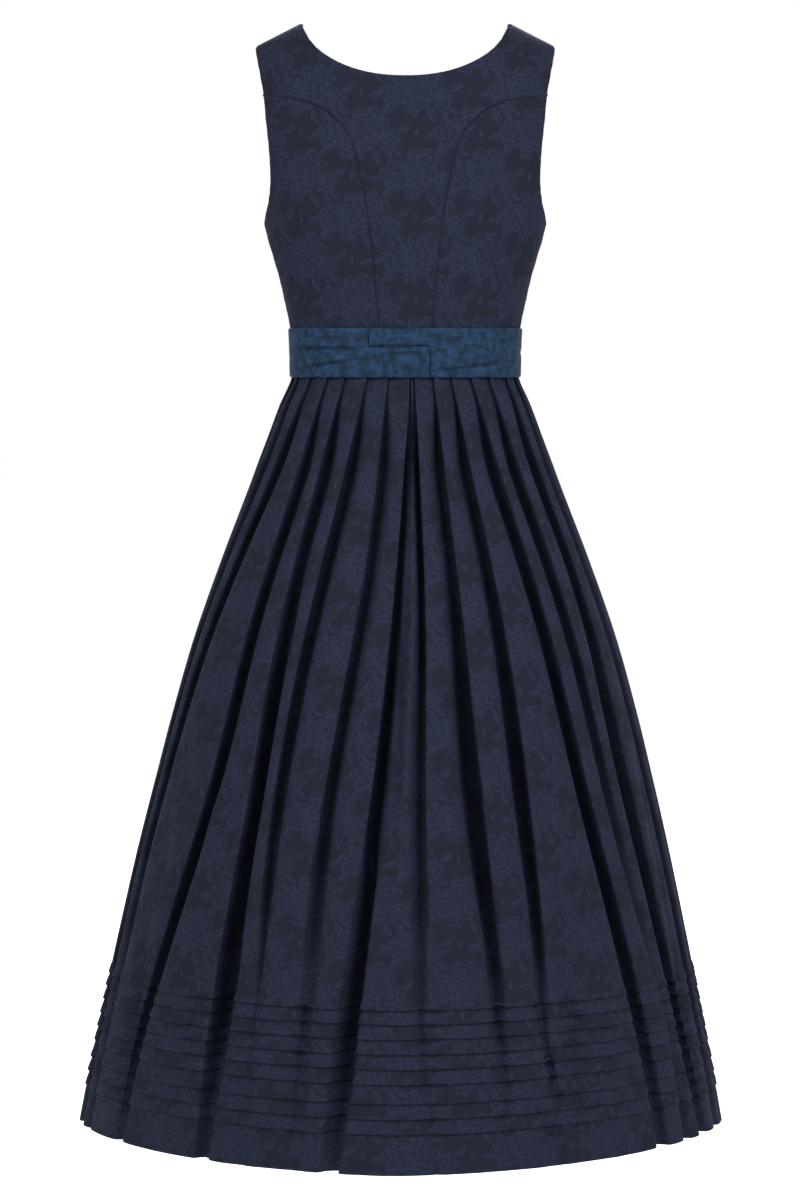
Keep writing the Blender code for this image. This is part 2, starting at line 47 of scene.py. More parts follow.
def readTable(table, key, column):
    rows = sorted(table)
    keys = [row[0] for row in rows]
    key = min(max(key, keys[0]), keys[-1])
    at = max(i for i in range(len(keys) - 1) if keys[i] <= key)
    step = keys[at + 1] - keys[at]
    share = (key - keys[at]) / step

    def slope(i):
        low, high = max(i - 1, 0), min(i + 1, len(rows) - 1)
        return (rows[high][column] - rows[low][column]) / (keys[high] - keys[low])

    start, end = rows[at][column], rows[at + 1][column]
    return ((2 * share**3 - 3 * share**2 + 1) * start + (3 * share**2 - 2 * share**3) * end
            + (share**3 - 2 * share**2 + share) * step * slope(at)
            + (share**3 - share**2) * step * slope(at + 1))


def ringPoints(table, angles, height, proud=0.0):
    # angles from the centre back, + toward the wearer's right
    key = height / mm
    sine, cosine = np.sin(angles), np.cos(angles)
    depth = np.where(cosine > 0, readTable(table, key, 2), readTable(table, key, 3)) * mm + proud
    across = np.abs(sine) ** roundness
    # the skirt leans a little to one side and gets less square lower down
    lean, bend = 0.0, roundness
    if len(table[0]) > 4:
        lean, bend = readTable(table, key, 4), readTable(table, key, 5)
    back = np.maximum(1 - across ** (2 / bend), 0) ** (bend / 2)
    x = (readTable(table, key, 1) * mm + proud) * np.sign(sine) * across + lean * mm
    y = -depth * np.sign(cosine) * back
    return np.stack([x, y, np.full_like(x, height)], axis=-1)


def angleAt(x, height, table):
    share = min(abs(x) / (readTable(table, height / mm, 1) * mm), 1.0)
    return math.copysign(math.asin(share ** (1 / roundness)), x)


def smoothStep(value, low, high):
    share = np.clip((value - low) / (high - low), 0, 1)
    return share * share * (3 - 2 * share)


def curveThrough(controls, counts):
    # smooth curve through control points, a set number of samples after each; centripetal
    controls = np.asarray(controls, float)
    gaps = np.sqrt(np.maximum(np.linalg.norm(np.diff(controls, axis=0), axis=1), 1e-9))
    times = np.concatenate([[0], np.cumsum(gaps)])
    samples = []
    for i, count in enumerate(counts):
        p0, p1, p2, p3 = controls[i:i + 4]
        t0, t1, t2, t3 = times[i:i + 4]
        t = (t1 + (t2 - t1) * np.arange(count) / count)[:, None]
        a1 = (t1 - t) / (t1 - t0) * p0 + (t - t0) / (t1 - t0) * p1
        a2 = (t2 - t) / (t2 - t1) * p1 + (t - t1) / (t2 - t1) * p2
        a3 = (t3 - t) / (t3 - t2) * p2 + (t - t2) / (t3 - t2) * p3
        b1 = (t2 - t) / (t2 - t0) * a1 + (t - t0) / (t2 - t0) * a2
        b2 = (t3 - t) / (t3 - t1) * a2 + (t - t1) / (t3 - t1) * a3
        samples.append((t2 - t) / (t2 - t1) * b1 + (t - t1) / (t2 - t1) * b2)
    return np.concatenate(samples)


def walkAlong(points, axis=0):
    # distance along a line of spots, or along each row of a sheet of them, from its first one
    steps = np.linalg.norm(np.diff(points, axis=axis), axis=-1)
    first = np.zeros_like(np.take(steps, [0], axis=axis))
    return np.concatenate([first, np.cumsum(steps, axis=axis)], axis=axis)


# ---- cloth sheets

def sheetNormals(points):
    along = np.gradient(points, axis=1)
    down = np.gradient(points, axis=0)
    normals = np.cross(down, along)
    size = np.linalg.norm(normals, axis=2, keepdims=True)
    outward = points * np.array([1, 1, 0]) - np.array([0, 0.02, 0])
    outward /= np.maximum(np.linalg.norm(outward, axis=2, keepdims=True), 1e-6)
    normals = np.where(size > 1e-12, normals / np.maximum(size, 1e-12), outward)
    if np.sum(normals * outward) < 0:
        normals = -normals
    return normals


def creaseHeight(across, heights, creases, unit=mm):
    # soft troughs (height below 0) and ridges: each is a line through some spots, its width and its height
    total = np.zeros_like(across)
    for spots, width, height in creases:
        spots, width, height = [(x * unit, z * mm) for x, z in spots], width * unit, height * mm
        nearest = np.full_like(across, 1e9)
        fade = np.zeros_like(across)
        length = sum(math.dist(a, b) for a, b in zip(spots, spots[1:]))
        walked = 0.0
        for (x0, z0), (x1, z1) in zip(spots, spots[1:]):
            part = math.dist((x0, z0), (x1, z1))
            share = ((across - x0) * (x1 - x0) + (heights - z0) * (z1 - z0)) / part ** 2
            share = np.clip(share, 0, 1)
            distance = np.hypot(across - x0 - share * (x1 - x0), heights - z0 - share * (z1 - z0))
            position = (walked + share * part) / length
            closer = distance < nearest
            nearest = np.where(closer, distance, nearest)
            fade = np.where(closer, position, fade)
            walked += part
        ends = np.clip(np.sin(np.pi * np.clip(fade, 0.02, 0.98)), 0, 1) ** creaseFade
        total += height * ends * np.exp(-(nearest / width) ** 2)
    return total


def makeSheet(name, points, uvs, node, materialName, wall, merge=False, leftOut=None):
    # leftOut says, from the rows and columns of a face's corners, whether the sheet has a gap there
    rows, columns = points.shape[:2]
    bm = bmesh.new()
    bmesh.ops.create_grid(bm, x_segments=columns - 1, y_segments=rows - 1, size=1)
    bm.verts.ensure_lookup_table()
    bm.verts.index_update()
    for vert, spot in zip(bm.verts, points.reshape(-1, 3)):
        vert.co = spot
    layer = bm.loops.layers.uv.new("cloth")
    flatUv = uvs.reshape(-1, 2)
    dropped = []
    for face in bm.faces:
        face.smooth = True
        for loop in face.loops:
            loop[layer].uv = flatUv[loop.vert.index]
        if leftOut and leftOut(*zip(*[divmod(vert.index, columns) for vert in face.verts])):
            dropped.append(face)
    bmesh.ops.delete(bm, geom=dropped, context="FACES")
    bm.normal_update()
    outward = 0.0
    for face in bm.faces:
        centre = face.calc_center_median()
        outward += face.normal.dot(centre - Vector((0, 0.02, centre.z - 0.03))) * face.calc_area()
    if outward < 0:
        bmesh.ops.reverse_faces(bm, faces=bm.faces)
    if merge:
        bmesh.ops.remove_doubles(bm, verts=bm.verts, dist=2e-5)
    mesh = bpy.data.meshes.new(name)
    bm.to_mesh(mesh)
    bm.free()
    mesh.materials.append(bpy.data.materials[materialName])
    piece = bpy.data.objects.new(name, mesh)
    bpy.context.scene.collection.objects.link(piece)
    cloth = piece.modifiers.new("cloth", "SOLIDIFY")
    cloth.thickness = wall
    cloth.offset = -1
    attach(piece, "root")
    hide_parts(node)
    area = sum(p.area for p in mesh.polygons)
    print(name, "faces", len(mesh.polygons), "area", round(area, 4))
    return piece


# ---- materials

def hexColour(value):
    parts = [int(value[i:i + 2], 16) / 255 for i in (1, 3, 5)]
    return (*[((c + 0.055) / 1.055) ** 2.4 if c > 0.04045 else c / 12.92 for c in parts], 1.0)


def addNode(tree, kind, *inputs, settings=None, **named):
    # kind is the node and, after a space, how it works; inputs are numbers, tuples, sockets or nodes
    # (their first output), and named ones go by socket name
    kind, _, way = kind.partition(" ")
    made = tree.nodes.new("ShaderNode" + kind)
    if way:
        setattr(made, "interpolation_type" if kind == "MapRange" else "operation", way)
    for key, value in (settings or {}).items():
        setattr(made, key, value)
    for key, value in [*enumerate(inputs), *((k.replace("_", " "), v) for k, v in named.items())]:
        if isinstance(value, bpy.types.Node):
            value = value.outputs[0]
        if isinstance(value, bpy.types.NodeSocket):
            tree.links.new(value, made.inputs[key])
        else:
            made.inputs[key].default_value = value
    return made


def startMaterial(name, values):
    material = bpy.data.materials.new(name)
    material.use_nodes = True
    shader = material.node_tree.nodes["Principled BSDF"]
    for key, value in values.items():
        shader.inputs[key].default_value = value
    return material.node_tree, shader


flatNoise = {"noise_dimensions": "2D"}      # cloth has no third direction to look up


damask = {
    "repeat": (122.0, 94.0),        # one rose cluster and its half-drop neighbour, mm
    "blooms": (                     # middle, radius in mm, turn, rings of petals, petals round
        (7.0, 6.0, 25.0, 0.4, 3.6, 7.0), (-23.0, 1.0, 18.0, 2.1, 2.8, 6.0),
        (31.0, -9.0, 13.5, 4.0, 2.3, 5.0), (-4.0, -18.0, 12.0, 1.2, 2.2, 5.0)),
    "leaves": (                     # middle, turn, half length and half width
        (-30.0, -19.0, 3.8, 13.0, 6.4), (-44.0, -4.0, 3.3, 10.5, 5.4), (18.0, -27.0, 5.2, 11.5, 5.6),
        (46.0, 5.0, 0.5, 11.0, 5.4), (-30.0, 21.0, 2.4, 9.5, 4.6), (42.0, -22.0, 5.7, 9.5, 4.8)),
    "bud": (2.4, 5.2),
    "ragged": 2.8,                  # how far the woven outline wanders, mm
    "ground": "#13161F", "woven": "#191D2C",
    "thread": 0.9,                  # drawn coarser than the real 0.25 mm thread, so that it shows
}


def roseCluster(tree, spot, figure):
    # spot is the place in mm from the cluster's middle; figure goes from 0 on the ground to 1 on the float
    for x, y, radius, turn, rings, petals in damask["blooms"]:
        moved = addNode(tree, "VectorMath SUBTRACT", spot, (x, y, 0.0))
        length = addNode(tree, "VectorMath LENGTH", moved).outputs["Value"]
        parts = addNode(tree, "SeparateXYZ", moved)
        theta = addNode(tree, "Math ARCTAN2", parts.outputs[1], parts.outputs[0])
        around = addNode(tree, "Math MULTIPLY_ADD", theta, petals / 2, turn)
        lobes = addNode(tree, "Math ABSOLUTE", addNode(tree, "Math SINE", around))
        edge = addNode(tree, "Math MULTIPLY_ADD", lobes, 0.24 * radius, 0.8 * radius)
        reach = addNode(tree, "Math DIVIDE", length, edge)
        # petals in rings round the heart: each ring is scalloped and turned on, and brightens to its rim
        swirl = addNode(tree, "Math MULTIPLY", reach, rings)
        whorl = addNode(tree, "Math FLOOR", swirl)
        scallop = addNode(tree, "Math MULTIPLY_ADD", whorl, 1.9, around)
        scallop = addNode(tree, "Math ABSOLUTE", addNode(tree, "Math SINE", scallop))
        place = addNode(tree, "Math MULTIPLY_ADD", scallop, 0.5, swirl)
        place = addNode(tree, "Math FRACT", place)
        petal = addNode(tree, "MapRange SMOOTHSTEP", place, 0.1, 0.92, 0.12, 1.0)
        bloom = addNode(tree, "MapRange SMOOTHSTEP", reach, 0.92, 1.04, 1.0, 0.0)
        bloom = addNode(tree, "Math MULTIPLY", petal, bloom)
        figure = addNode(tree, "Math MAXIMUM", figure, bloom)
    for x, y, turn, length, width in damask["leaves"]:
        leaf = addNode(tree, "Mapping", spot, settings={"vector_type": "TEXTURE"},
                       Location=(x, y, 0.0), Rotation=(0.0, 0.0, turn), Scale=(length, width, 1.0))
        parts = addNode(tree, "SeparateXYZ", leaf)
        # pointed at both ends: the half width falls off along the midrib, with small teeth
        along = addNode(tree, "Math MULTIPLY", parts.outputs[0], parts.outputs[0])
        teeth = addNode(tree, "Math MULTIPLY", parts.outputs[0], 17.0)
        teeth = addNode(tree, "Math SINE", teeth)
        ends = addNode(tree, "Math MULTIPLY_ADD", teeth, 0.09, 0.96)
        ends = addNode(tree, "Math SUBTRACT", ends, along)
        side = addNode(tree, "Math ABSOLUTE", parts.outputs[1])
        blade = addNode(tree, "Math SUBTRACT", ends, side)
        blade = addNode(tree, "MapRange SMOOTHSTEP", blade, 0.0, 0.25)
        half = addNode(tree, "MapRange SMOOTHSTEP", parts.outputs[1], -0.35, 0.1, 0.85, 0.4)
        leaf = addNode(tree, "Math MULTIPLY", blade, half)
        figure = addNode(tree, "Math MAXIMUM", figure, leaf)
    # a small bud halfway to the next cluster
    split = addNode(tree, "SeparateXYZ", spot)
    height = addNode(tree, "Math ABSOLUTE", split.outputs[1])
    height = addNode(tree, "Math SUBTRACT", height, damask["repeat"][1] / 2)
    bud = addNode(tree, "CombineXYZ", split.outputs[0], height, 0.0)
    bud = addNode(tree, "VectorMath DIVIDE", bud, (*damask["bud"], 1.0))
    bud = addNode(tree, "VectorMath LENGTH", bud).outputs["Value"]
    bud = addNode(tree, "MapRange SMOOTHSTEP", bud, 0.6, 1.15, 0.8, 0.0)
    return addNode(tree, "Math MAXIMUM", figure, bud)


def makeDamask():
    # navy cotton-blend jacquard, woven: a matt ground with roses in a slightly brighter, smoother float
    tree, shader = startMaterial("navyRoseJacquard", {
        "Metallic": 0.0, "Specular IOR Level": 0.03, "Sheen Weight": 0.02, "Sheen Roughness": 0.45,
        "Sheen Tint": hexColour("#8E9CC8")})
    cloth = addNode(tree, "UVMap", settings={"uv_map": "cloth"})
    width, drop = damask["repeat"]
    # the outline wanders by a few threads, so no two blooms are quite alike
    wander = addNode(tree, "TexNoise", cloth, settings=flatNoise, Scale=120.0, Detail=2.5)
    wander = addNode(tree, "VectorMath SUBTRACT", wander.outputs["Color"], (0.5, 0.5, 0.5))
    wander = addNode(tree, "VectorMath MULTIPLY", wander, (2 * damask["ragged"], 2 * damask["ragged"], 0.0))
    figure = 0.0
    for shift in ((0.0, 0.0, 0.0), (0.5, 0.5, 0.0)):
        cell = addNode(tree, "VectorMath MULTIPLY_ADD", cloth, (1000 / width, 1000 / drop, 0.0), shift)
        cell = addNode(tree, "VectorMath FRACTION", cell)
        cell = addNode(tree, "VectorMath SUBTRACT", cell, (0.5, 0.5, 0.0))
        spot = addNode(tree, "VectorMath MULTIPLY_ADD", cell, (width, drop, 0.0), wander)
        figure = roseCluster(tree, spot, figure)
    # uneven yarn: streaks along the warp, and slow clouds a hand wide
    grain = addNode(tree, "Mapping", cloth, Scale=(900.0, 120.0, 1.0))
    streak = addNode(tree, "TexNoise", grain, settings=flatNoise, Scale=1.0, Detail=2.0)
    cloud = addNode(tree, "TexNoise", cloth, settings=flatNoise, Scale=28.0, Detail=2.0)
    speck = addNode(tree, "TexNoise", cloth, settings=flatNoise, Scale=420.0, Detail=1.0)
    speck = addNode(tree, "MapRange SMOOTHSTEP", speck, 0.34, 0.6, 0.45, 1.1)
    woven = addNode(tree, "Math MULTIPLY", figure, speck)
    tone = addNode(tree, "Math MULTIPLY_ADD", streak, 0.3, woven)
    tone = addNode(tree, "Math MULTIPLY_ADD", cloud, 0.3, tone)
    tone = addNode(tree, "Math SUBTRACT", tone, 0.3)
    colour = addNode(tree, "Mix", tone, settings={"data_type": "RGBA"})
    colour.inputs[6].default_value = hexColour(damask["ground"])
    colour.inputs[7].default_value = hexColour(damask["woven"])
    tree.links.new(colour.outputs[2], shader.inputs["Base Color"])
    rough = addNode(tree, "MapRange SMOOTHSTEP", figure, 0.0, 1.0, 0.9, 0.72)
    tree.links.new(rough.outputs[0], shader.inputs["Roughness"])
    # twill ribs
    split = addNode(tree, "SeparateXYZ", cloth)
    ribs = addNode(tree, "Math ADD", split.outputs[0], split.outputs[1])
    ribs = addNode(tree, "Math MULTIPLY", ribs, 2 * math.pi * 1000 / damask["thread"])
    ribs = addNode(tree, "Math SINE", ribs)
    relief = addNode(tree, "Math MULTIPLY_ADD", ribs, 0.12, figure)
    relief = addNode(tree, "Math MULTIPLY_ADD", streak, 0.5, relief)
    bump = addNode(tree, "Bump", Strength=0.35, Distance=0.0004, Height=relief)
    tree.links.new(bump.outputs[0], shader.inputs["Normal"])


satin = {"dark": "#0F1924", "light": "#17293F"}


def makeSatin():
    # petrol satin-faced ribbon cloth, woven with a long float: its soft streaky lustre along its length is
    # painted sheen, lighter streaks and clouds mixed into the colour, where the clouds are also smoother
    tree, shader = startMaterial("petrolSatin", {
        "Metallic": 0.0, "Specular IOR Level": 0.03, "Sheen Weight": 0.03, "Sheen Roughness": 0.4})
    cloth = addNode(tree, "UVMap", settings={"uv_map": "cloth"})
    grain = addNode(tree, "Mapping", cloth, Scale=(70.0, 900.0, 1.0))
    streak = addNode(tree, "TexNoise", grain, settings=flatNoise, Scale=1.0, Detail=3.0)
    cloud = addNode(tree, "TexNoise", cloth, settings=flatNoise, Scale=85.0, Detail=4.0, Roughness=0.65)
    # painted sheen: where the streaks and clouds run high the colour turns from dark to the lighter one
    tone = addNode(tree, "Math MULTIPLY_ADD", streak, 0.5, cloud)
    tone = addNode(tree, "MapRange SMOOTHSTEP", tone, 0.55, 0.98, 0.0, 1.0)
    colour = addNode(tree, "Mix", tone, settings={"data_type": "RGBA"})
    colour.inputs[6].default_value = hexColour(satin["dark"])
    colour.inputs[7].default_value = hexColour(satin["light"])
    tree.links.new(colour.outputs[2], shader.inputs["Base Color"])
    rough = addNode(tree, "MapRange", cloud, 0.3, 0.7, 0.72, 0.58)
    tree.links.new(rough.outputs[0], shader.inputs["Roughness"])
    relief = addNode(tree, "Math MULTIPLY_ADD", streak, 0.5, cloud)
    bump = addNode(tree, "Bump", Strength=0.35, Distance=0.0005, Height=relief)
    tree.links.new(bump.outputs[0], shader.inputs["Normal"])


makeDamask()
makeSatin()
print("materials made")


# ---- bodice

bodice = {
    "wall": 0.9 * mm, "proud": 1.2 * mm,
    "torso": (                  # height, half width, back depth, front depth of the inner face
        (-377, 127.3, 79.8, 91.8), (-335, 130.8, 80.5, 93.5), (-302, 137.6, 84.0, 100.0),
        (-279, 142.8, 86.5, 108.5), (-256, 149.4, 89.0, 118.5), (-233, 156.3, 91.5, 127.5),
        (-217, 160.3, 93.0, 132.0), (-210, 163.0, 93.7, 133.5), (-203, 165.2, 94.3, 134.5),
        (-192, 167.0, 95.0, 135.5), (-172, 168.4, 96.0, 134.0), (-150, 170.6, 97.0, 130.0),
        (-127, 172.4, 97.6, 123.5), (-108, 174.4, 98.0, 117.5), (-91, 176.0, 97.6, 112.5),
        (-72, 178.0, 97.0, 108.0), (-38, 182.0, 92.0, 98.0), (-15, 184.0, 86.0, 92.0),
        (13, 184.0, 84.0, 90.0)),
    "backSeam": (               # x, height of the princess seams, from the waist up to the armhole
        (29.0, -377), (30.5, -335), (33.0, -300), (36.0, -265), (38.5, -241), (41.5, -217),
        (45.3, -192), (49.0, -172), (54.0, -150), (60.5, -127), (71.5, -108), (91.0, -91),
        (112.0, -81), (125.0, -78), (138.0, -75.5), (150.0, -73.6), (160.7, -72)),
    "frontSeam": (
        (62.0, -377), (63.0, -335), (67.0, -300), (72.0, -265), (76.5, -241), (81.0, -217),
        (86.5, -192), (92.5, -172), (102.0, -152), (109.5, -140), (118.0, -131), (128.0, -124),
        (139.0, -118), (149.5, -113)),
    "armhole": (                # height, x behind, x in front
        (-217, 160.3, 160.3), (-211, 159.8, 160.2), (-203, 158.0, 157.0), (-192, 155.5, 154.5),
        (-172, 153.3, 152.0), (-150, 153.7, 150.0), (-127, 155.3, 149.0), (-108, 157.4, 150.0),
        (-91, 159.0, 152.5), (-72, 160.7, 156.5), (-50, 164.5, 162.5), (-27, 168.8, 168.5),
        (-15, 170.5, 170.5)),
    "underarm": -0.217, "neckPoint": (0.117, 0.0126), "shoulderTip": (0.1705, -0.015),
    "shoulderRound": 0.065, "shoulderDepth": 0.094, "neckCurve": 2.2, "neckRise": 1.15, "neckShare": 0.72,
    "backNeckLow": -0.0526, "frontNeckLow": -0.135,
    "seamRows": 66, "backColumns": 37, "sideColumns": 20, "frontColumns": 18,
    "frontRows": 42,            # the front's level rows; the rest fan out to its neckline and armhole
    "neckRows": 9, "armholeRows": 24,
    "sideRadius": 0.13, "halfWidth": 0.17,      # rough sizes, to turn an angle into a width
    "besideFrom": -0.1, "ringTop": -0.09, "flatTop": -0.02,     # heights where the pattern is laid otherwise
    "beside": 0.8,              # past this share of the half width a spot is found by its depth
    "seamRoll": (1.7 * mm, 1.7 * mm),     # how far a panel's sides turn in, and over what width
    "hemRoll": (1.1 * mm, 1.2 * mm),      # the same along the top of the back
    "edgeSteps": (0.0, 0.5, 1.1, 1.8, 2.8, 4.2),    # mm in from a side, where the columns lie close
    "creasesBack": (            # soft drag lines: x and height of the spots, width and height, mm
        (((158, -222), (135, -236), (112, -243)), 4.5, -0.9),
        (((-158, -215), (-137, -232), (-104, -241)), 5, -1),
        (((148, -252), (118, -262)), 3.5, 0.6),
        (((-136, -298), (-104, -305), (-72, -303)), 4.5, -0.8),
        (((-131, -316), (-94, -320)), 3.5, 0.6),
        (((133, -292), (100, -304), (64, -308)), 5, -0.9),
        (((131, -318), (85, -322)), 4, -0.7),
        (((-26, -318), (4, -322), (27, -317)), 4.5, -0.6),
        (((-148, -110), (-126, -138), (-116, -168)), 6, -0.9),
        (((150, -104), (132, -133), (118, -161)), 6.5, -0.9),
        (((-60, -120), (-50, -168), (-45, -214)), 7, 0.6),
        (((58, -112), (48, -160), (43, -230)), 6, -0.7),
    ),
    "creasesFront": (
        (((158, -218), (132, -228), (108, -224)), 5, -1),
        (((-157, -217), (-131, -231), (-101, -228)), 5.5, -1.1),
        (((130, -300), (96, -309), (70, -306)), 4.5, -0.9),
        (((-133, -306), (-100, -312), (-66, -311)), 5, -0.8),
        (((8, -306), (34, -311), (58, -307)), 4, -0.7),
        (((-57, -320), (-30, -323), (-6, -319)), 4, 0.6),
        (((146, -122), (128, -150), (116, -176)), 6, -0.9),
        (((-147, -118), (-126, -149), (-112, -170)), 5.5, -0.8),
    ),
    "patternMiddle": (0.049, 0.0236), "patternLeft": (0.060, 0.0236), "patternRight": (0.036, 0.0706),
    "puckerPitch": 0.0165, "pucker": 0.00022, "puckerReach": 0.009, "puckerDrift": (3, 37),
}


def overShoulder(points):
    (neckX, neckZ), (tipX, tipZ) = bodice["neckPoint"], bodice["shoulderTip"]
    line = neckZ + (tipZ - neckZ) / (tipX - neckX) * (np.abs(points[..., 0]) - neckX)
    below = np.clip((line - points[..., 2]) / bodice["shoulderRound"], 0, 1)
    moved = points.copy()
    moved[..., 1] *= np.sqrt(1 - (1 - below) ** 2)
    return moved


def smoothLine(table, count):
    line = np.array(table, float) * mm
    padded = np.vstack([2 * line[0] - line[1], line, 2 * line[-1] - line[-2]])
    dense = np.vstack([curveThrough(padded, [12] * (len(line) - 1)), line[-1:]])
    walked = walkAlong(dense)
    at = np.linspace(0, walked[-1], count)
    return np.stack([np.interp(at, walked, dense[:, 0]), np.interp(at, walked, dense[:, 1])], axis=-1)


def edgeShares(width, count):
    # columns close together near the finished edges, even between them
    steps = [s * mm for s in bodice["edgeSteps"]]
    scale = min(1.0, width / (2.6 * steps[-1])) if width > 0 else 0.0
    start = [s * scale for s in steps]
    end = [width - s for s in reversed(start)]
    middle = np.linspace(start[-1], end[0], count + 2)[1:-1]
    return np.concatenate([start, middle, end])


def torsoRow(xs, height, front):
    angles = np.array([angleAt(x, height, bodice["torso"]) for x in xs])
    if front:
        angles = math.pi - angles
    return overShoulder(ringPoints(bodice["torso"], angles, height, bodice["proud"]))


def neckPointAt(share, low):
    turn = share * math.pi / 2
    across = math.sin(turn) ** (2 / bodice["neckCurve"])
    rise = 1 - abs(math.cos(turn)) ** bodice["neckRise"]
    return np.array([bodice["neckPoint"][0] * across, low + (bodice["neckPoint"][1] - low) * rise])


def backTop(share):
    # the top of the back: neckline to neckShare, then the shoulder seam
    neckShare = bodice["neckShare"]
    if share <= neckShare:
        turn = math.asin((share / neckShare) ** (bodice["neckCurve"] / 2))
        return neckPointAt(turn / (math.pi / 2), bodice["backNeckLow"])
    part = (share - neckShare) / (1 - neckShare)
    return np.array(bodice["neckPoint"]) * (1 - part) + np.array(bodice["shoulderTip"]) * part


def placeTorso(flat, front):
    # flat spots (x, height) onto the body, one by one because each has its own height
    placed = np.empty((len(flat), 3))
    grown = 1 + bodice["proud"] / bodice["halfWidth"]
    for i, (x, height) in enumerate(flat):
        point = torsoRow([x], height, front)[0]
        placed[i] = (x * grown if abs(x) > 1e-9 else 0.0, point[1], height)
    return placed


def rollEdge(points, distance, roll, room):
    depth, width = roll
    return points - sheetNormals(points) * (depth * room * np.exp(-(distance / width) ** 2))[..., None]


def sidePanel(seamTable, column, front):
    seam = smoothLine(seamTable, bodice["seamRows"])
    rows = []
    for x, height in seam:
        start = angleAt(x, height, bodice["torso"])
        end = math.pi / 2
        if height > bodice["underarm"]:
            edge = readTable(bodice["armhole"], height / mm, column) * mm
            end = min(angleAt(edge, height, bodice["torso"]), math.pi / 2)
        end = max(end, start)
        width = (end - start) * bodice["sideRadius"]
        shares = edgeShares(width, bodice["sideColumns"])
        shares = shares / width if width > 1e-6 else np.zeros(len(shares))
        angles = start + (end - start) * shares
        if front:
            angles = math.pi - angles
        rows.append(overShoulder(ringPoints(bodice["torso"], angles, height, bodice["proud"])))
    return np.array(rows)


def finishPanel(name, node, points, creases, shift, topEdge=None):
    along = walkAlong(points, 1)
    uvs = clothSpots(points) + np.array(shift)
    points = points + sheetNormals(points) * creaseHeight(points[..., 0], points[..., 2], creases)[..., None]
    # puckers along the princess seams, nowhere evenly spaced
    swing, pace = bodice["puckerDrift"]
    pucker = bodice["pucker"] * np.sin(points[..., 2] * 2 * math.pi / bodice["puckerPitch"]
                                       + swing * np.sin(points[..., 2] * pace))
    left, right = along, along[:, -1:] - along
    # nothing is rolled or puckered where a panel runs out to a point
    room = smoothStep(np.broadcast_to(along[:, -1:], along.shape), 0.004, 0.02)
    near = np.exp(-(left / bodice["puckerReach"]) ** 2) + np.exp(-(right / bodice["puckerReach"]) ** 2)
    points = points + sheetNormals(points) * (pucker * near * room)[..., None]
    for distance in (left, right):
        points = rollEdge(points, distance, bodice["seamRoll"], room)
    if topEdge is not None:
        points = rollEdge(points, topEdge, bodice["hemRoll"], room)
    piece = makeSheet(name, points, uvs, node, "navyRoseJacquard", bodice["wall"], merge=True)


ringLengths = {}        # the body's girths, kept because many spots share a height


def clothSpots(points):
    # where each spot lies on the flat cloth: round the body from its centre line, and up over the shoulder
    neckX, neckZ = bodice["neckPoint"]
    tipX, tipZ = bodice["shoulderTip"]
    drop = bodice["shoulderRound"]
    over = np.linspace(0, 1, 200)
    arc = np.stack([bodice["shoulderDepth"] * np.sqrt(1 - (1 - over) ** 2), -drop * over], axis=-1)
    path = walkAlong(arc)
    line = neckZ + (tipZ - neckZ) / (tipX - neckX) * (np.abs(points[..., 0]) - neckX)
    below = np.clip((line - points[..., 2]) / drop, 0, 1)
    longer = path[-1] - np.interp(below, over, path) - drop * (1 - below)
    spots = np.empty((*points.shape[:2], 2))
    angles = np.linspace(0, math.pi, 361)
    for i, j in np.ndindex(points.shape[:2]):
        x, y, z = points[i, j]
        key = round(min(z, bodice["ringTop"]), 3)
        if key not in ringLengths:
            ring = ringPoints(bodice["torso"], angles, key, bodice["proud"])
            ringLengths[key] = ring[:, 0], ring[:, 1], walkAlong(ring)
        across, deep, walked = ringLengths[key]
        half = len(across) // 2
        if abs(x) > bodice["beside"] * across[half] and z < bodice["besideFrom"]:
            length = np.interp(y, deep, walked)
        elif y < 0 or z > bodice["flatTop"]:
            length = np.interp(abs(x), across[:half], walked[:half])
        else:
            length = walked[-1] - np.interp(abs(x), across[half:][::-1], walked[half:][::-1])
        spots[i, j] = math.copysign(length, x), z + longer[i, j]
    return spots


def mirrorSheet(points):
    return (points * np.array([-1, 1, 1]))[:, ::-1]


backSide = sidePanel(bodice["backSeam"], 1, False)
frontSide = sidePanel(bodice["frontSeam"], 2, True)
for side in ("Right", "Left"):
    for name, node, sheet, creases, size, area in (
            ("bodiceSideBack", "bodice_side_back", backSide, bodice["creasesBack"], (0.175, 0.34), 0.0445),
            ("bodiceSideFront", "bodice_side_front", frontSide, bodice["creasesFront"], (0.15, 0.295),
             0.035)):
        finishPanel(name + side, f"{node}_{side.lower()}", sheet if side == "Right" else mirrorSheet(sheet),
                    creases, bodice["pattern" + side])
print("side panels made")


def centreBack():
    seam = smoothLine(bodice["backSeam"], bodice["seamRows"])
    rows = [torsoRow(edgeShares(2 * x, bodice["backColumns"]) - x, height, False) for x, height in seam]
    base = seam[-1]
    levels = np.concatenate([np.linspace(0, 0.93, 22)[1:], [0.95, 0.965, 0.978, 0.988, 0.995, 1.0]])
    # the upper rows fan out from the last seam row to the neckline and the shoulder seams
    lastXs = edgeShares(2 * base[0], bodice["backColumns"]) - base[0]
    for level in levels:
        flat = []
        for x in lastXs:
            share = min(abs(x) / base[0], 1.0)
            low = np.array([abs(x), base[1]])
            high = backTop(share)
            spot = low * (1 - level) + high * level
            if share > 0.999:
                spot[0] = readTable(bodice["armhole"], spot[1] / mm, 1) * mm
            flat.append((math.copysign(spot[0], x), spot[1]))
        rows.append(placeTorso(flat, False))
    points = np.array(rows)
    return points, walkAlong(points[::-1])[::-1]


backPoints, backTopDistance = centreBack()
finishPanel("bodiceBack", "bodice_back", backPoints, bodice["creasesBack"],
            bodice["patternMiddle"], backTopDistance)


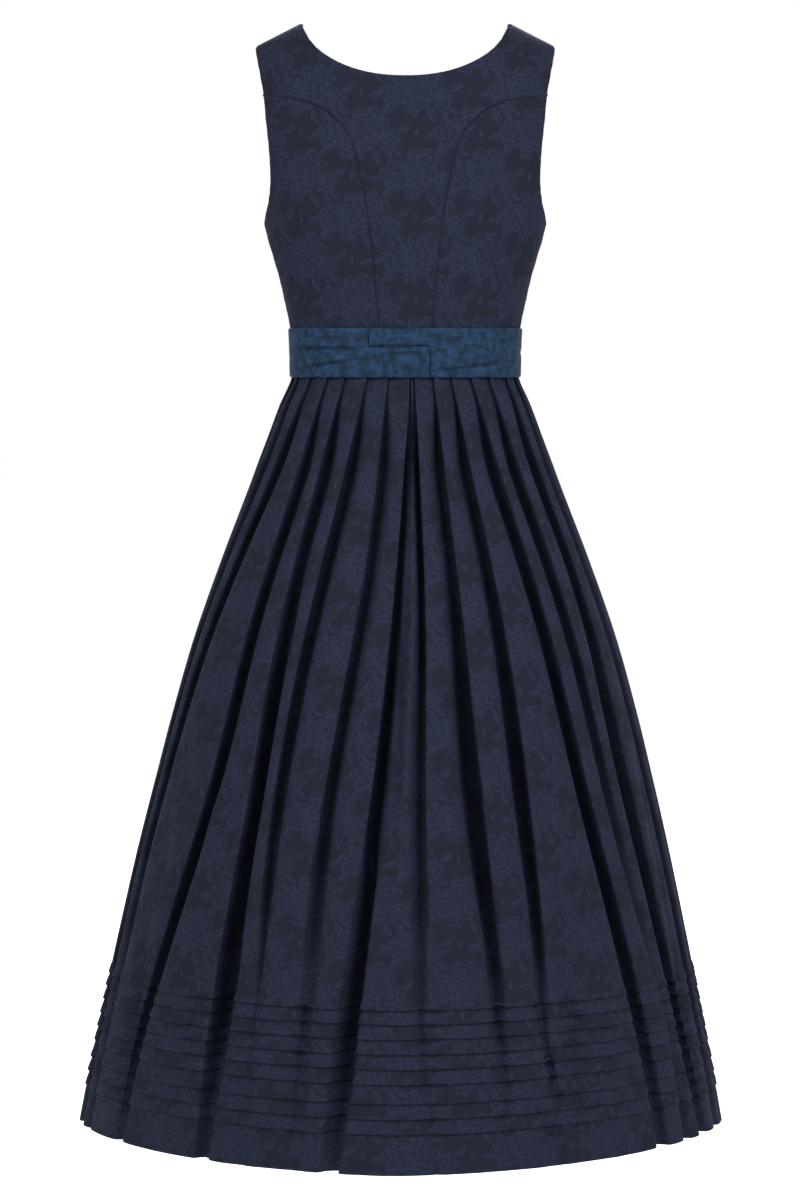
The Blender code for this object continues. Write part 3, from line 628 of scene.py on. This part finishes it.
def frontPanel():
    seam = smoothLine(bodice["frontSeam"], bodice["seamRows"])
    levelRows, columns = bodice["frontRows"], bodice["frontColumns"]
    rows = [torsoRow(edgeShares(x, columns), height, True) for x, height in seam[:levelRows]]
    outer = [tuple(p) for p in seam[levelRows:]]
    outer += [(readTable(bodice["armhole"], z, 2) * mm, z * mm)
              for z in np.linspace(-108, -15, bodice["armholeRows"])]
    joint = seam[levelRows - 1]
    inner = [(0.0, z) for z in np.linspace(joint[1], bodice["frontNeckLow"], bodice["neckRows"])[1:]]
    inner += [tuple(neckPointAt(share, bodice["frontNeckLow"]))
              for share in np.linspace(0, 1, len(outer) - len(inner) + 1)[1:]]
    for start, end in zip(inner, outer):
        start, end = np.array(start), np.array(end)
        width = np.linalg.norm(end - start)
        shares = edgeShares(width, columns) / width
        rows.append(placeTorso([start + (end - start) * s for s in shares], True))
    return np.array(rows)


frontPoints = frontPanel()
for side in ("Right", "Left"):
    finishPanel("bodiceFront" + side, f"bodice_front_{side.lower()}",
                frontPoints if side == "Right" else mirrorSheet(frontPoints), bodice["creasesFront"],
                bodice["patternMiddle"])
print("bodice made")


# ---- skirt

skirt = {
    "wall": 0.7 * mm, "hem": -1.2475,
    "shape": (                  # height, half width, back and front depth, lean, roundness at the crests
        (-377.3, 130.2, 82.5, 94.5, 0.0, 0.85), (-392, 130.4, 83.0, 95.0, 0.0, 0.85),
        (-405, 135.5, 87.0, 99.0, 0.0, 0.85), (-422, 143.5, 96.0, 107.5, 0.0, 0.86),
        (-463, 158.5, 112.5, 122.5, 0.0, 0.87), (-515, 177.5, 133.0, 141.5, 0.0, 0.89),
        (-603, 211.5, 171.5, 176.5, 0.0, 0.92), (-691, 242.5, 206.5, 208.0, -0.2, 0.96),
        (-779, 267.5, 236.5, 234.0, -0.6, 1.00), (-850, 285.5, 259.0, 252.5, -1.2, 1.03),
        (-931, 305.5, 283.5, 273.5, -2.2, 1.07), (-1030, 327.5, 308.5, 295.0, -3.2, 1.11),
        (-1111, 344.5, 328.5, 312.5, -4.0, 1.14), (-1181, 359.0, 345.5, 327.5, -4.5, 1.16),
        (-1247.5, 371.5, 361.0, 341.0, -5.0, 1.18)),
    "levels": (-392, -603, -850, -1111, -1247.5),
    "folds": (                  # angle at the waist, hip, knee, calf and hem; depth at the last four
        (-152.5, -154.0, -156.0, -157.0, -158.0, 7, 10, 11, 7),
        (-136.0, -136.0, -136.5, -137.5, -138.0, 7, 8, 4, 2),
        (-119.5, -119.0, -118.0, -117.0, -116.5, 6, 11, 12, 7),
        (-103.5, -103.0, -103.0, -103.5, -104.0, 6, 6, 3, 2),
        (-87.0, -90.5, -91.5, -92.0, -92.5, 6, 7, 5, 3),
        (-71.0, -79.0, -82.0, -82.5, -83.0, 6, 8, 9, 6),
        (-54.5, -66.0, -73.5, -74.0, -74.0, 7, 7, 3, 2),
        (-40.5, -44.5, -47.5, -56.5, -58.0, 7, 10, 8, 5),
        (-29.0, -33.0, -33.6, -35.4, -34.5, 8, 17, 19, 10),
        (-16.5, -23.0, -26.7, -25.5, -25.0, 8, 7, 1.5, 0.5),
        (-6.6, -9.4, -14.6, -16.0, -16.5, 7, 7, 1.5, 0.5),
        (1.0, -1.6, -5.2, -9.9, -11.0, 8, 17, 22, 13),
        (3.2, 3.8, 3.1, 3.3, 4.8, 8, 6, 3, 1.5),
        (11.4, 12.5, 14.0, 16.2, 16.5, 8, 15, 2.5, 0.5),
        (20.5, 23.8, 25.2, 25.2, 26.0, 8, 11, 3, 1),
        (32.0, 38.5, 43.0, 50.0, 51.5, 8, 10, 12, 11),
        (44.5, 49.5, 52.0, 58.5, 60.0, 7, 5, 1, 6),
        (61.0, 63.0, 62.0, 65.5, 68.0, 8, 16, 13, 8),
        (77.0, 77.0, 76.5, 77.0, 77.5, 6, 7, 7, 5),
        (90.5, 90.5, 91.0, 92.0, 92.5, 6, 7, 4, 3),
        (106.5, 106.0, 105.5, 104.5, 104.0, 6, 10, 11, 7),
        (122.5, 122.0, 121.0, 120.5, 120.0, 6, 6, 3, 2),
        (138.5, 138.5, 138.0, 138.0, 138.0, 7, 9, 9, 6),
        (154.0, 156.0, 157.5, 159.0, 160.0, 7, 10, 12, 7)),
    "rightSide": 2.0, "sideSeam": 80.0,     # pleats past these turn the other way, or are the front's
    "frontPanel": (-176.0, -167.0, 167.0, 176.0),
    "open": (-0.386, -0.50),    # heights between which the pressed pleats open
    "deeper": ((2.4, 6.0), (1.2, 1.0)),   # the cloth's folds against the solid's: times, and mm more
    "tucks": (173, 158, 142.5, 126.5, 111, 95, 75, 59, 43),
    "tuckProud": 1.7, "tuckHidden": 0.014,
    "tuckProfile": (            # mm above the lip, and how far out as a share of tuckProud
        (9.5, 0.5 / 1.55), (5.0, 1.1 / 1.55), (1.5, 1.0), (0.2, 1.0)),
    "waver": ((31, 2.1, 1.0), (83, 4.7, 0.7), (171, 1.3, 0.5)),     # pace, shift from tuck to tuck, share
    "waverOut": 0.16, "waverDown": 0.00045,
    "clothSlope": 1.045,            # cloth along the slope for a metre of height
    "patternRow": -12,              # the row at the hem that the pattern is laid out from
    "sideTurn": 0.8 * mm / 0.3,     # how far the side seams turn in, as a share of the radius
    "deepest": 42.0,
    "foldWidth": (8, 1.05), "lapWidth": (12, 0.95),     # mm, and mm more for each mm of depth
    "softLow": (0.95, 1.24),    # how far down the folds get rounder
    "softSides": ((66, 88), (98, 112)),         # degrees at the waist where they are round all the way
    "hemCalm": (0.012, 0.7),    # creases are shallower this close to the hem
    "ringSteps": 2881,
    "lapFold": 11, "lapFrom": (0.88, 0.98),
    "puckeredFold": 15, "puckeredSteps": 20,    # small creases cross the tucks in this fold's face
    "creases": (                # spots: degrees from the centre back, height in mm; width in degrees
        (((26.8, -1070), (28.4, -1082)), 0.55, -4.2),
        (((27.2, -1086), (29, -1099)), 0.55, -4.6),
        (((27.8, -1103), (29.3, -1113)), 0.5, -3.6),
        (((28.4, -1131), (30.4, -1145)), 0.6, -4.8),
        (((29, -1148), (31, -1162)), 0.55, -4.4),
        (((30, -1168), (31.6, -1179)), 0.5, -3.6),
        (((29.4, -1090), (31.6, -1150), (33, -1200)), 1.2, 2.2),
        (((27, -1180), (27.6, -1215), (27.2, -1240)), 1.2, -2.2),
        (((4, -860), (4.6, -1020), (6.2, -1235)), 1, -2.2),
        (((9.5, -700), (10, -920), (10.8, -1100)), 1.6, 3),
        (((19, -780), (19.6, -960), (18.8, -1200)), 1.7, -3.2),
        (((33.5, -740), (36.5, -980), (35, -1220)), 2, -4.2),
        (((42, -900), (44, -1080), (43, -1240)), 1.7, 3.4),
        (((-2.4, -620), (-2, -780), (-3.4, -970)), 1, -2),
        (((-19.5, -840), (-20.5, -1000), (-20, -1220)), 1.8, -3.6),
        (((-29, -920), (-30.5, -1060), (-29.6, -1240)), 1.5, 3.4),
        (((-41, -700), (-44.5, -900), (-46, -1160)), 2.1, -4.4),
        (((-51, -820), (-50, -1000), (-51.5, -1240)), 1.6, 3),
        (((-66, -860), (-66.5, -1040), (-65, -1240)), 2.2, -4),
        (((72, -800), (72.6, -1000), (73, -1240)), 1.9, -3.8),
        (((84, -640), (85, -900), (84.2, -1160)), 1.7, -3.4),
        (((98, -760), (98.6, -980), (98, -1230)), 2, -4),
        (((113, -700), (112.2, -940), (112.6, -1200)), 1.8, -3.6),
        (((130, -820), (129.4, -1000), (129.8, -1240)), 2.1, -4.2),
        (((147.5, -660), (148.6, -900), (149.6, -1220)), 1.8, -3.8),
        (((171, -560), (171.6, -840), (172.4, -1180)), 1.7, -3.4),
        (((178.6, -720), (178, -960), (178.4, -1240)), 1.6, 2.6),
        (((-172.8, -620), (-173.4, -900), (-172, -1230)), 1.8, -3.6),
        (((-146, -740), (-146.8, -960), (-147.4, -1220)), 2, -4),
        (((-127.5, -680), (-127, -920), (-126.6, -1160)), 1.8, -3.4),
        (((-110, -800), (-109.6, -1000), (-110.4, -1240)), 2.1, -4.2),
        (((-97.4, -660), (-97.8, -880), (-98.2, -1100)), 1.6, -3),
    ),
}
partNames = ("crest", "nose", "turn", "valley", "rise", "far", "mid")       # of a pleat, from its fold on
partSteps = {"crest": 2, "nose": 2, "turn": 3, "valley": 3, "rise": 3, "far": 4, "mid": 4, "front": 5}


def foldAngle(fold, height):
    table = [(level, fold[i]) for i, level in enumerate(skirt["levels"])]
    return math.radians(readTable(table, height / mm, 1))


def foldDepth(fold, height):
    table = [(level, fold[len(skirt["levels"]) + i]) for i, level in enumerate(skirt["levels"][1:])]
    return max(readTable(table, height / mm, 1), 0.0)


def foldControls(fold, room, height):
    # a pleat's parts from its crest to the middle of the next face: mm along the ring, mm inward
    laps = fold is skirt["folds"][skirt["lapFold"]]
    plain = foldDepth(fold, height)
    low = float(smoothStep(-height, *skirt["softLow"]))
    into, outOf = (float(smoothStep(abs(fold[0]), *ramp)) for ramp in skirt["softSides"])
    low = max(low, into - outOf)
    times, more = (a + (b - a) * low for a, b in zip(*skirt["deeper"]))
    depth = min(plain * times + more * min(plain / 5, 1), skirt["deepest"])
    sharp = 1.0 if laps else float(smoothStep(plain, 2.5, 8)) * (1 - 0.6 * low)
    room = room / mm
    least, growth = skirt["lapWidth" if laps else "foldWidth"]
    wanted = least + growth * plain
    width = min(wanted, 0.55 * room) * sharp + min(1.5 * wanted, 0.75 * room) * (1 - sharp)
    crowded = max(0.0, 1 - room / (1.3 * wanted))
    under = min(0.5 * depth, 0.26 * room)           # how far the cloth goes back beneath the crest
    crisp = np.array([(0, 0), (0.02 * width, 0.08 * depth), (-0.4 * under, 0.5 * depth),
                      (0.12 * width - 0.5 * under, depth), (0.52 * width, 0.8 * depth),
                      (width, (0.12 + 0.88 * crowded) * depth),
                      ((width + room) / 2, -1.5 + (depth + 1.5) * crowded)])
    soft = np.array([(0, 0), (0.1 * width, 0.08 * depth), (0.26 * width, 0.42 * depth),
                     (0.48 * width, depth), (0.72 * width, 0.62 * depth), (width, 0.12 * depth),
                     ((width + room) / 2, -1.0)])
    hung = soft + (crisp - soft) * sharp
    if laps:
        # lower down the panel nearer the middle laps over this one, so its other edge is the crisp one
        lapped = np.array([(0, 0), (0.1 * width, 0.1 * depth), (0.22 * width, 0.5 * depth),
                           (0.7 * width, depth), (width + 0.3 * under, 0.7 * depth),
                           (width, 0.03 * depth), ((width + room) / 2, -1.0)])
        hung = hung + (lapped - hung) * float(smoothStep(-height, *skirt["lapFrom"]))
    # pressed shut at the waist
    shut = np.array([(0, 0), (0.9, 0.6), (0.8, 2.0), (-1.0, 3.9), (0.25 * min(3.0, room / 2), 4.6),
                     (min(3.2, room / 2), 4.3), (0.62 * room, 2.2)])
    return shut + (hung - shut) * float(smoothStep(-height, -skirt["open"][0], -skirt["open"][1]))


def skirtRow(height, proud, wave):
    angles = np.linspace(-math.pi, math.pi, skirt["ringSteps"])
    ring = ringPoints(skirt["shape"], angles, height)
    arc = walkAlong(ring)
    whole = arc[-1]
    folds = skirt["folds"]
    crests = [np.interp(foldAngle(fold, height), angles, arc) for fold in folds]
    panel = [(np.interp(math.radians(degrees), angles, arc), 0.0) for degrees in skirt["frontPanel"]]
    controls, names, puckered = panel[:2], ["front", "front"], []
    for i, fold in enumerate(folds):
        toBack = 1 if fold[0] < skirt["rightSide"] else -1
        ahead = i + toBack
        room = abs(crests[ahead] - crests[i])
        if (folds[ahead][0] < skirt["rightSide"]) != (fold[0] < skirt["rightSide"]):
            room /= 2
        spots = [(crests[i] + toBack * s * mm, r * mm) for s, r in foldControls(fold, room, height)]
        controls += spots[::toBack]
        names += partNames[::toBack]
        if i == skirt["puckeredFold"]:
            middle = names.index("mid", len(names) - len(partNames))
            puckered = [middle - 1, middle]
    controls += panel[2:]
    names += ["front", "front"]
    counts = []
    for i, kind in enumerate(names):
        following = names[(i + 1) % len(names)]
        if i in puckered:
            counts.append(skirt["puckeredSteps"])
        elif "front" in (kind, following) or "mid" in (kind, following):
            counts.append(max(partSteps[kind], partSteps[following]))
        else:
            counts.append(min(partSteps[kind], partSteps[following]))
    closedLine = [(controls[-1][0] - whole, controls[-1][1])] + controls
    closedLine += [(controls[0][0] + whole, controls[0][1]), (controls[1][0] + whole, controls[1][1])]
    line = curveThrough(closedLine, counts)
    at = np.mod(line[:, 0], whole)
    base = np.stack([np.interp(at, arc, ring[:, k]) for k in range(3)], axis=-1)
    tangent = np.gradient(ring, axis=0)
    tangent[0] = tangent[-1] = tangent[1]
    tangent = np.stack([np.interp(at, arc, tangent[:, k]) for k in range(3)], axis=-1)
    normal = np.stack([tangent[:, 1], -tangent[:, 0], np.zeros(len(at))], axis=-1)
    normal /= np.linalg.norm(normal, axis=1, keepdims=True)
    points = base - normal * line[:, 1:2]
    if proud or wave:
        turned = np.roll(points, -1, axis=0) - np.roll(points, 1, axis=0)
        out = np.stack([turned[:, 1], -turned[:, 0], np.zeros(len(at))], axis=-1)
        out /= np.maximum(np.linalg.norm(out, axis=1, keepdims=True), 1e-9)
        # lips waver a little, each in its own way
        waves = [share * np.sin(at * pace + wave * shift) for pace, shift, share in skirt["waver"]]
        uneven = sum(waves) / sum(share for _, _, share in skirt["waver"])
        points = points + out * (proud * mm * (1 + skirt["waverOut"] * uneven))[:, None]
        points[:, 2] += skirt["waverDown"] * uneven * min(proud, 1)
    return points, list(zip(np.concatenate([[0], np.cumsum(counts)])[:-1], names))


def skirtRows():
    # height, how far the cloth stands out, which tuck, and how far the pattern has moved on
    plain = [-377.3, -382, -387, -392, -398, -405, -413, -422, -432, -443]
    plain += [-455 - 12.2 * i for i in range(51)]
    hem, tuckProud = skirt["hem"], skirt["tuckProud"]
    rows = [(z * mm, 0.0, 0, 0.0) for z in plain if z > -1066]
    moved = 0.0
    for number, rise in enumerate(skirt["tucks"], 1):
        lip = hem + rise * mm
        above = 0 if number == 1 else skirt["tucks"][number - 2] - rise
        for step, share in skirt["tuckProfile"]:
            if step < above - 2.5 or number == 1 and step < 7:
                rows.append((lip + step * mm, tuckProud * share, number, moved))
        rows.append((lip - 0.35 * mm, 0.85 * tuckProud, number, moved))
        moved += skirt["tuckHidden"]
        rows.append((lip + 0.7 * mm, 0.1, number, moved))
        rows.append((lip - 1.3 * mm, -0.5, number, moved))
    # the plain hem, and the cloth turned up inside it
    rows += [(hem + rise * mm, 0.0, 0, moved) for rise in (36, 28, 20, 12, 6, 2.5, 1.0)]
    rows += [(hem + rise * mm, out, 0, moved) for rise, out in (
        (0.2, -0.1), (0, -0.7), (0.25, -1.4), (1.5, -1.75), (12, -1.75), (32, -1.75))]
    return rows


def clothAcross(points, marks):
    # pattern along the cloth: each pleat face keeps its own scale, the jump lies in the fold
    walked = walkAlong(points, 1)
    hemRow = walked[skirt["patternRow"]]
    # a face runs from a far side to the next crest, from a crest to the next far side, or over the middle
    faces, start, crest = [], 0, None
    for column, kind in marks:
        if kind not in ("crest", "far"):
            continue
        if start is None:
            start, crest = column, column if kind == "crest" else None
        else:
            fixed = column if kind == "crest" else crest
            faces.append((start, column, (start + column) // 2 if fixed is None else fixed))
            start, crest = None, None
    if start is not None:
        faces.append((start, points.shape[1] - 1, points.shape[1] - 1 if crest is None else crest))
    across = np.full(walked.shape, np.nan)
    for first, last, fixed in faces:
        across[:, first:last + 1] = hemRow[fixed] + walked[:, first:last + 1] - walked[:, fixed:fixed + 1]
    for row, length in zip(across, walked):
        known = ~np.isnan(row)
        row[~known] = np.interp(length[~known], length[known], row[known])
    return across, hemRow[-1]


def makeSkirt():
    rows = skirtRows()
    built = [skirtRow(height, proud, number) for height, proud, number, _ in rows]
    points = np.array([row for row, _ in built])
    marks = built[0][1]
    count = points.shape[1]
    mids = [column for column, kind in marks if kind == "mid"]
    left = mids[sum(fold[0] < -skirt["sideSeam"] for fold in skirt["folds"]) - 1]
    right = mids[sum(fold[0] < skirt["sideSeam"] for fold in skirt["folds"])] - left
    points = np.roll(points, -left, axis=1)
    marks = sorted(((column - left) % count, kind) for column, kind in marks)
    shown = [0.0]
    for (z0, _, _, m0), (z1, _, _, m1) in zip(rows, rows[1:]):
        shown.append(shown[-1] + abs(z1 - z0) * skirt["clothSlope"] + (m1 - m0))
    for name, node, chosen in (("skirtBack", "skirt_back", list(range(0, right + 1))),
                               ("skirtFront", "skirt_front", list(range(right, count)) + [0])):
        sheet = points[:, chosen].copy()
        degrees = np.degrees(np.arctan2(sheet[..., 0], -sheet[..., 1]))
        # a hundred degrees count as a metre, so that the creases' widths and lengths compare
        raised = creaseHeight(degrees / 100, sheet[..., 2], skirt["creases"], 0.01)
        reach, share = skirt["hemCalm"]
        raised *= np.interp(sheet[..., 2], (skirt["hem"], skirt["hem"] + reach), (share, 1))
        sheet += sheetNormals(sheet) * raised[..., None]
        place = {column: i for i, column in enumerate(chosen)}
        local = sorted((place[column], kind) for column, kind in marks if column in place)
        across, width = clothAcross(sheet, local)
        uvs = np.stack([across, np.broadcast_to(-np.array(shown)[:, None], across.shape)], axis=-1)
        # the side seams turn in a little
        sheet[:, [0, -1]] *= 1 - np.array([1, 1, 0]) * skirt["sideTurn"]
        piece = makeSheet(name, sheet, uvs, node, "navyRoseJacquard", skirt["wall"])
        print(name, "hem along the cloth", round(float(width), 3), "length", round(shown[-1], 3))


makeSkirt()
print("skirt made")


# ---- sash

sash = {
    "wall": 0.9 * mm, "proud": 1.5 * mm,
    "shape": (                  # height, half width, back depth, front depth of the inner face
        (-391.5, 131.2, 83.9, 95.9), (-377, 131.4, 84.0, 96.0), (-354, 131.9, 84.0, 96.4),
        (-335.5, 132.8, 82.6, 95.6)),
    "leftEnd": 0.0265, "rightEnd": -0.0395, "step": 0.632, "raise": 1.7 * mm,
    "columns": 250, "endColumns": 34,
    "edgeRoll": (0.0011, 0.0012), "stepRoll": (0.0006, 0.0018), "slitDepth": 0.0022,
    "middle": -0.36, "round": 0.9,  # height where its girth is measured, and its length on the weave
    "ringSteps": 1441,
    "creases": (                # spots: distance round from the centre back, and height; all in mm
        (((-160, -359.5), (-110, -358.5), (-42, -358.2)), 1.5, -3.3),
        (((-150, -354.5), (-100, -354), (-50, -355)), 2.6, 1.2),
        (((-150, -384.5), (-88, -376), (-40, -370.5)), 1.7, -3.4),
        (((-140, -379), (-85, -371.2), (-45, -366)), 2.8, 1.4),
        (((-40, -370.5), (-18, -365), (8, -363.4), (24, -366.8)), 1.5, -3),
        (((-34, -379), (-10, -376), (16, -377)), 3, 1),
        (((28, -385.5), (68, -380.5), (134, -372.5)), 1.7, -3.5),
        (((34, -379), (80, -374), (140, -366)), 3, 1.5),
        (((10, -337.8), (32, -338.4), (53, -340.6)), 1.6, -1.8),
        (((-145, -345), (-105, -348), (-75, -347)), 3.6, -1.2),
        (((40, -352.5), (85, -350), (125, -353)), 4.2, -1.4),
        (((150, -365), (210, -360), (280, -364)), 3.2, -1.3),
        (((-170, -370), (-240, -364), (-310, -366)), 3.4, -1.4),
        (((200, -380), (290, -377), (345, -379)), 3, -1.2),
        (((-200, -348), (-270, -350), (-335, -346)), 3.4, -1.2),
    ),
    "slit": (-0.0335, 0.0235), "slitRamp": (0.012, 0.006),      # where the step gapes, distance round
}


def makeSash():
    low, high = sash["shape"][0][0] * mm, sash["shape"][-1][0] * mm
    leftAngle = angleAt(sash["leftEnd"], low, sash["shape"])
    rightAngle = angleAt(sash["rightEnd"], low, sash["shape"])
    steps = sash["endColumns"]
    end = np.linspace(leftAngle, rightAngle, steps)
    body = np.linspace(rightAngle, leftAngle - 2 * math.pi, sash["columns"])[1:-1]
    angles = np.concatenate([end, body, end - 2 * math.pi])
    split = sash["step"]
    levels = np.concatenate([[0, 0.012, 0.03], np.linspace(0.05, split - 0.04, 34),
                             [split - 0.025, split - 0.012, split, split + 0.012, split + 0.025],
                             np.linspace(split + 0.04, 0.95, 20), [0.97, 0.988, 1.0]])
    total = len(angles)
    inLeft = np.arange(total) < steps
    inRight = np.arange(total) >= total - steps
    lift = np.zeros(total)
    lift[inLeft] = np.linspace(1, 0, steps)
    lift[inRight] = np.linspace(0, 1, steps)
    denseAngles = np.linspace(-math.pi, math.pi, sash["ringSteps"])
    dense = ringPoints(sash["shape"], denseAngles, sash["middle"])
    walked = walkAlong(dense)
    wrapped = (angles + math.pi) % (2 * math.pi) - math.pi
    across = np.interp(wrapped, denseAngles, walked) - walked[-1] / 2
    rows = []
    for level in levels:
        height = low + (high - low) * level
        row = ringPoints(sash["shape"], angles, height, sash["proud"])
        out = row * np.array([1, 1, 0])
        out /= np.linalg.norm(out, axis=1, keepdims=True)
        rows.append(row + out * (lift * sash["raise"])[:, None])
    points = np.array(rows)
    normals = sheetNormals(points)
    acrossAll = np.broadcast_to(across, points.shape[:2])
    raised = creaseHeight(acrossAll, points[..., 2], sash["creases"])
    # the cloth is doubled: its long edges and its ends are soft folds
    levelsAll = np.broadcast_to(levels[:, None], points.shape[:2])
    edge = np.minimum(levelsAll, 1 - levelsAll) * (high - low)
    depth, reach = sash["edgeRoll"]
    raised = raised - depth * np.exp(-(edge / reach) ** 2)
    (slitStart, slitEnd), (outer, inner) = sash["slit"], sash["slitRamp"]
    slit = smoothStep(acrossAll, slitStart - outer, slitStart + inner)
    slit = slit * (1 - smoothStep(acrossAll, slitEnd - inner, slitEnd + outer))
    gap = np.abs(levelsAll - split) * (high - low)
    depth, reach = sash["stepRoll"]
    depth = (inLeft | inRight) * (depth + sash["slitDepth"] * slit)
    raised = raised - depth * np.exp(-(gap / reach) ** 2)
    points = points + normals * raised[..., None]
    uvs = np.stack([np.broadcast_to(np.linspace(0, sash["round"], total), points.shape[:2]), points[..., 2]],
                   axis=-1)

    def leftOut(atRows, atColumns):
        # beyond the step, each end of the band is only half as high
        level = levels[list(atRows)].mean()
        return max(atColumns) < steps and level > split or min(atColumns) >= total - steps and level < split

    piece = makeSheet("waistSash", points, uvs, "sash", "petrolSatin", sash["wall"], leftOut=leftOut)


makeSash()
print("sash made")


# ---- floor, light and camera

studio = {
    "floor": -1.42, "white": "#FFFFFF",
    "cameraSpot": (-0.006, -5.0, -0.36), "cameraAim": (-0.006, 0.0, -0.6475), "lens": 130.6,
    "lampAim": (0, 0, -0.5),
    "lights": (                 # where from, size in metres, watts
        ("keyLeft", (-1.3, -1.6, 0.55), 1.1, 53.0),
        ("keyRight", (1.3, -1.6, 0.55), 1.1, 66.0),
        ("backSoft", (0.2, 4.0, 1.6), 1.6, 170.0),
    ),
}


def aimAt(thing, spot, aim):
    thing.location = spot
    thing.rotation_mode = "QUATERNION"
    thing.rotation_quaternion = (Vector(aim) - Vector(spot)).to_track_quat("-Z", "Y")
    bpy.context.scene.collection.objects.link(thing)


def makeStudio():
    bm = bmesh.new()
    bmesh.ops.create_grid(bm, x_segments=1, y_segments=1, size=40)
    for vert in bm.verts:
        vert.co.z = studio["floor"]
    mesh = bpy.data.meshes.new("floor")
    bm.to_mesh(mesh)
    bm.free()
    floor = bpy.data.objects.new("floor", mesh)
    bpy.context.scene.collection.objects.link(floor)
    # plain white paper, matt, so that the dress alone gives the picture its tones
    startMaterial("paleStudioPaper", {"Base Color": hexColour(studio["white"]), "Roughness": 0.9})
    mesh.materials.append(bpy.data.materials["paleStudioPaper"])
    world = bpy.data.worlds.new("studioWhite")
    world.use_nodes = True
    sky = world.node_tree.nodes["Background"]
    sky.inputs["Color"].default_value = hexColour(studio["white"])
    sky.inputs["Strength"].default_value = 1.0
    bpy.context.scene.world = world
    for name, spot, size, power in studio["lights"]:
        data = bpy.data.lights.new(name, "AREA")
        data.size = size
        data.energy = power
        lamp = bpy.data.objects.new(name, data)
        aimAt(lamp, spot, studio["lampAim"])
    data = bpy.data.cameras.new("pictureCamera")
    data.lens = studio["lens"]
    data.sensor_width = 36
    camera = bpy.data.objects.new("pictureCamera", data)
    aimAt(camera, studio["cameraSpot"], studio["cameraAim"])
    bpy.context.scene.camera = camera
    bpy.context.scene.view_settings.view_transform = "Standard"


makeStudio()
print("studio made")
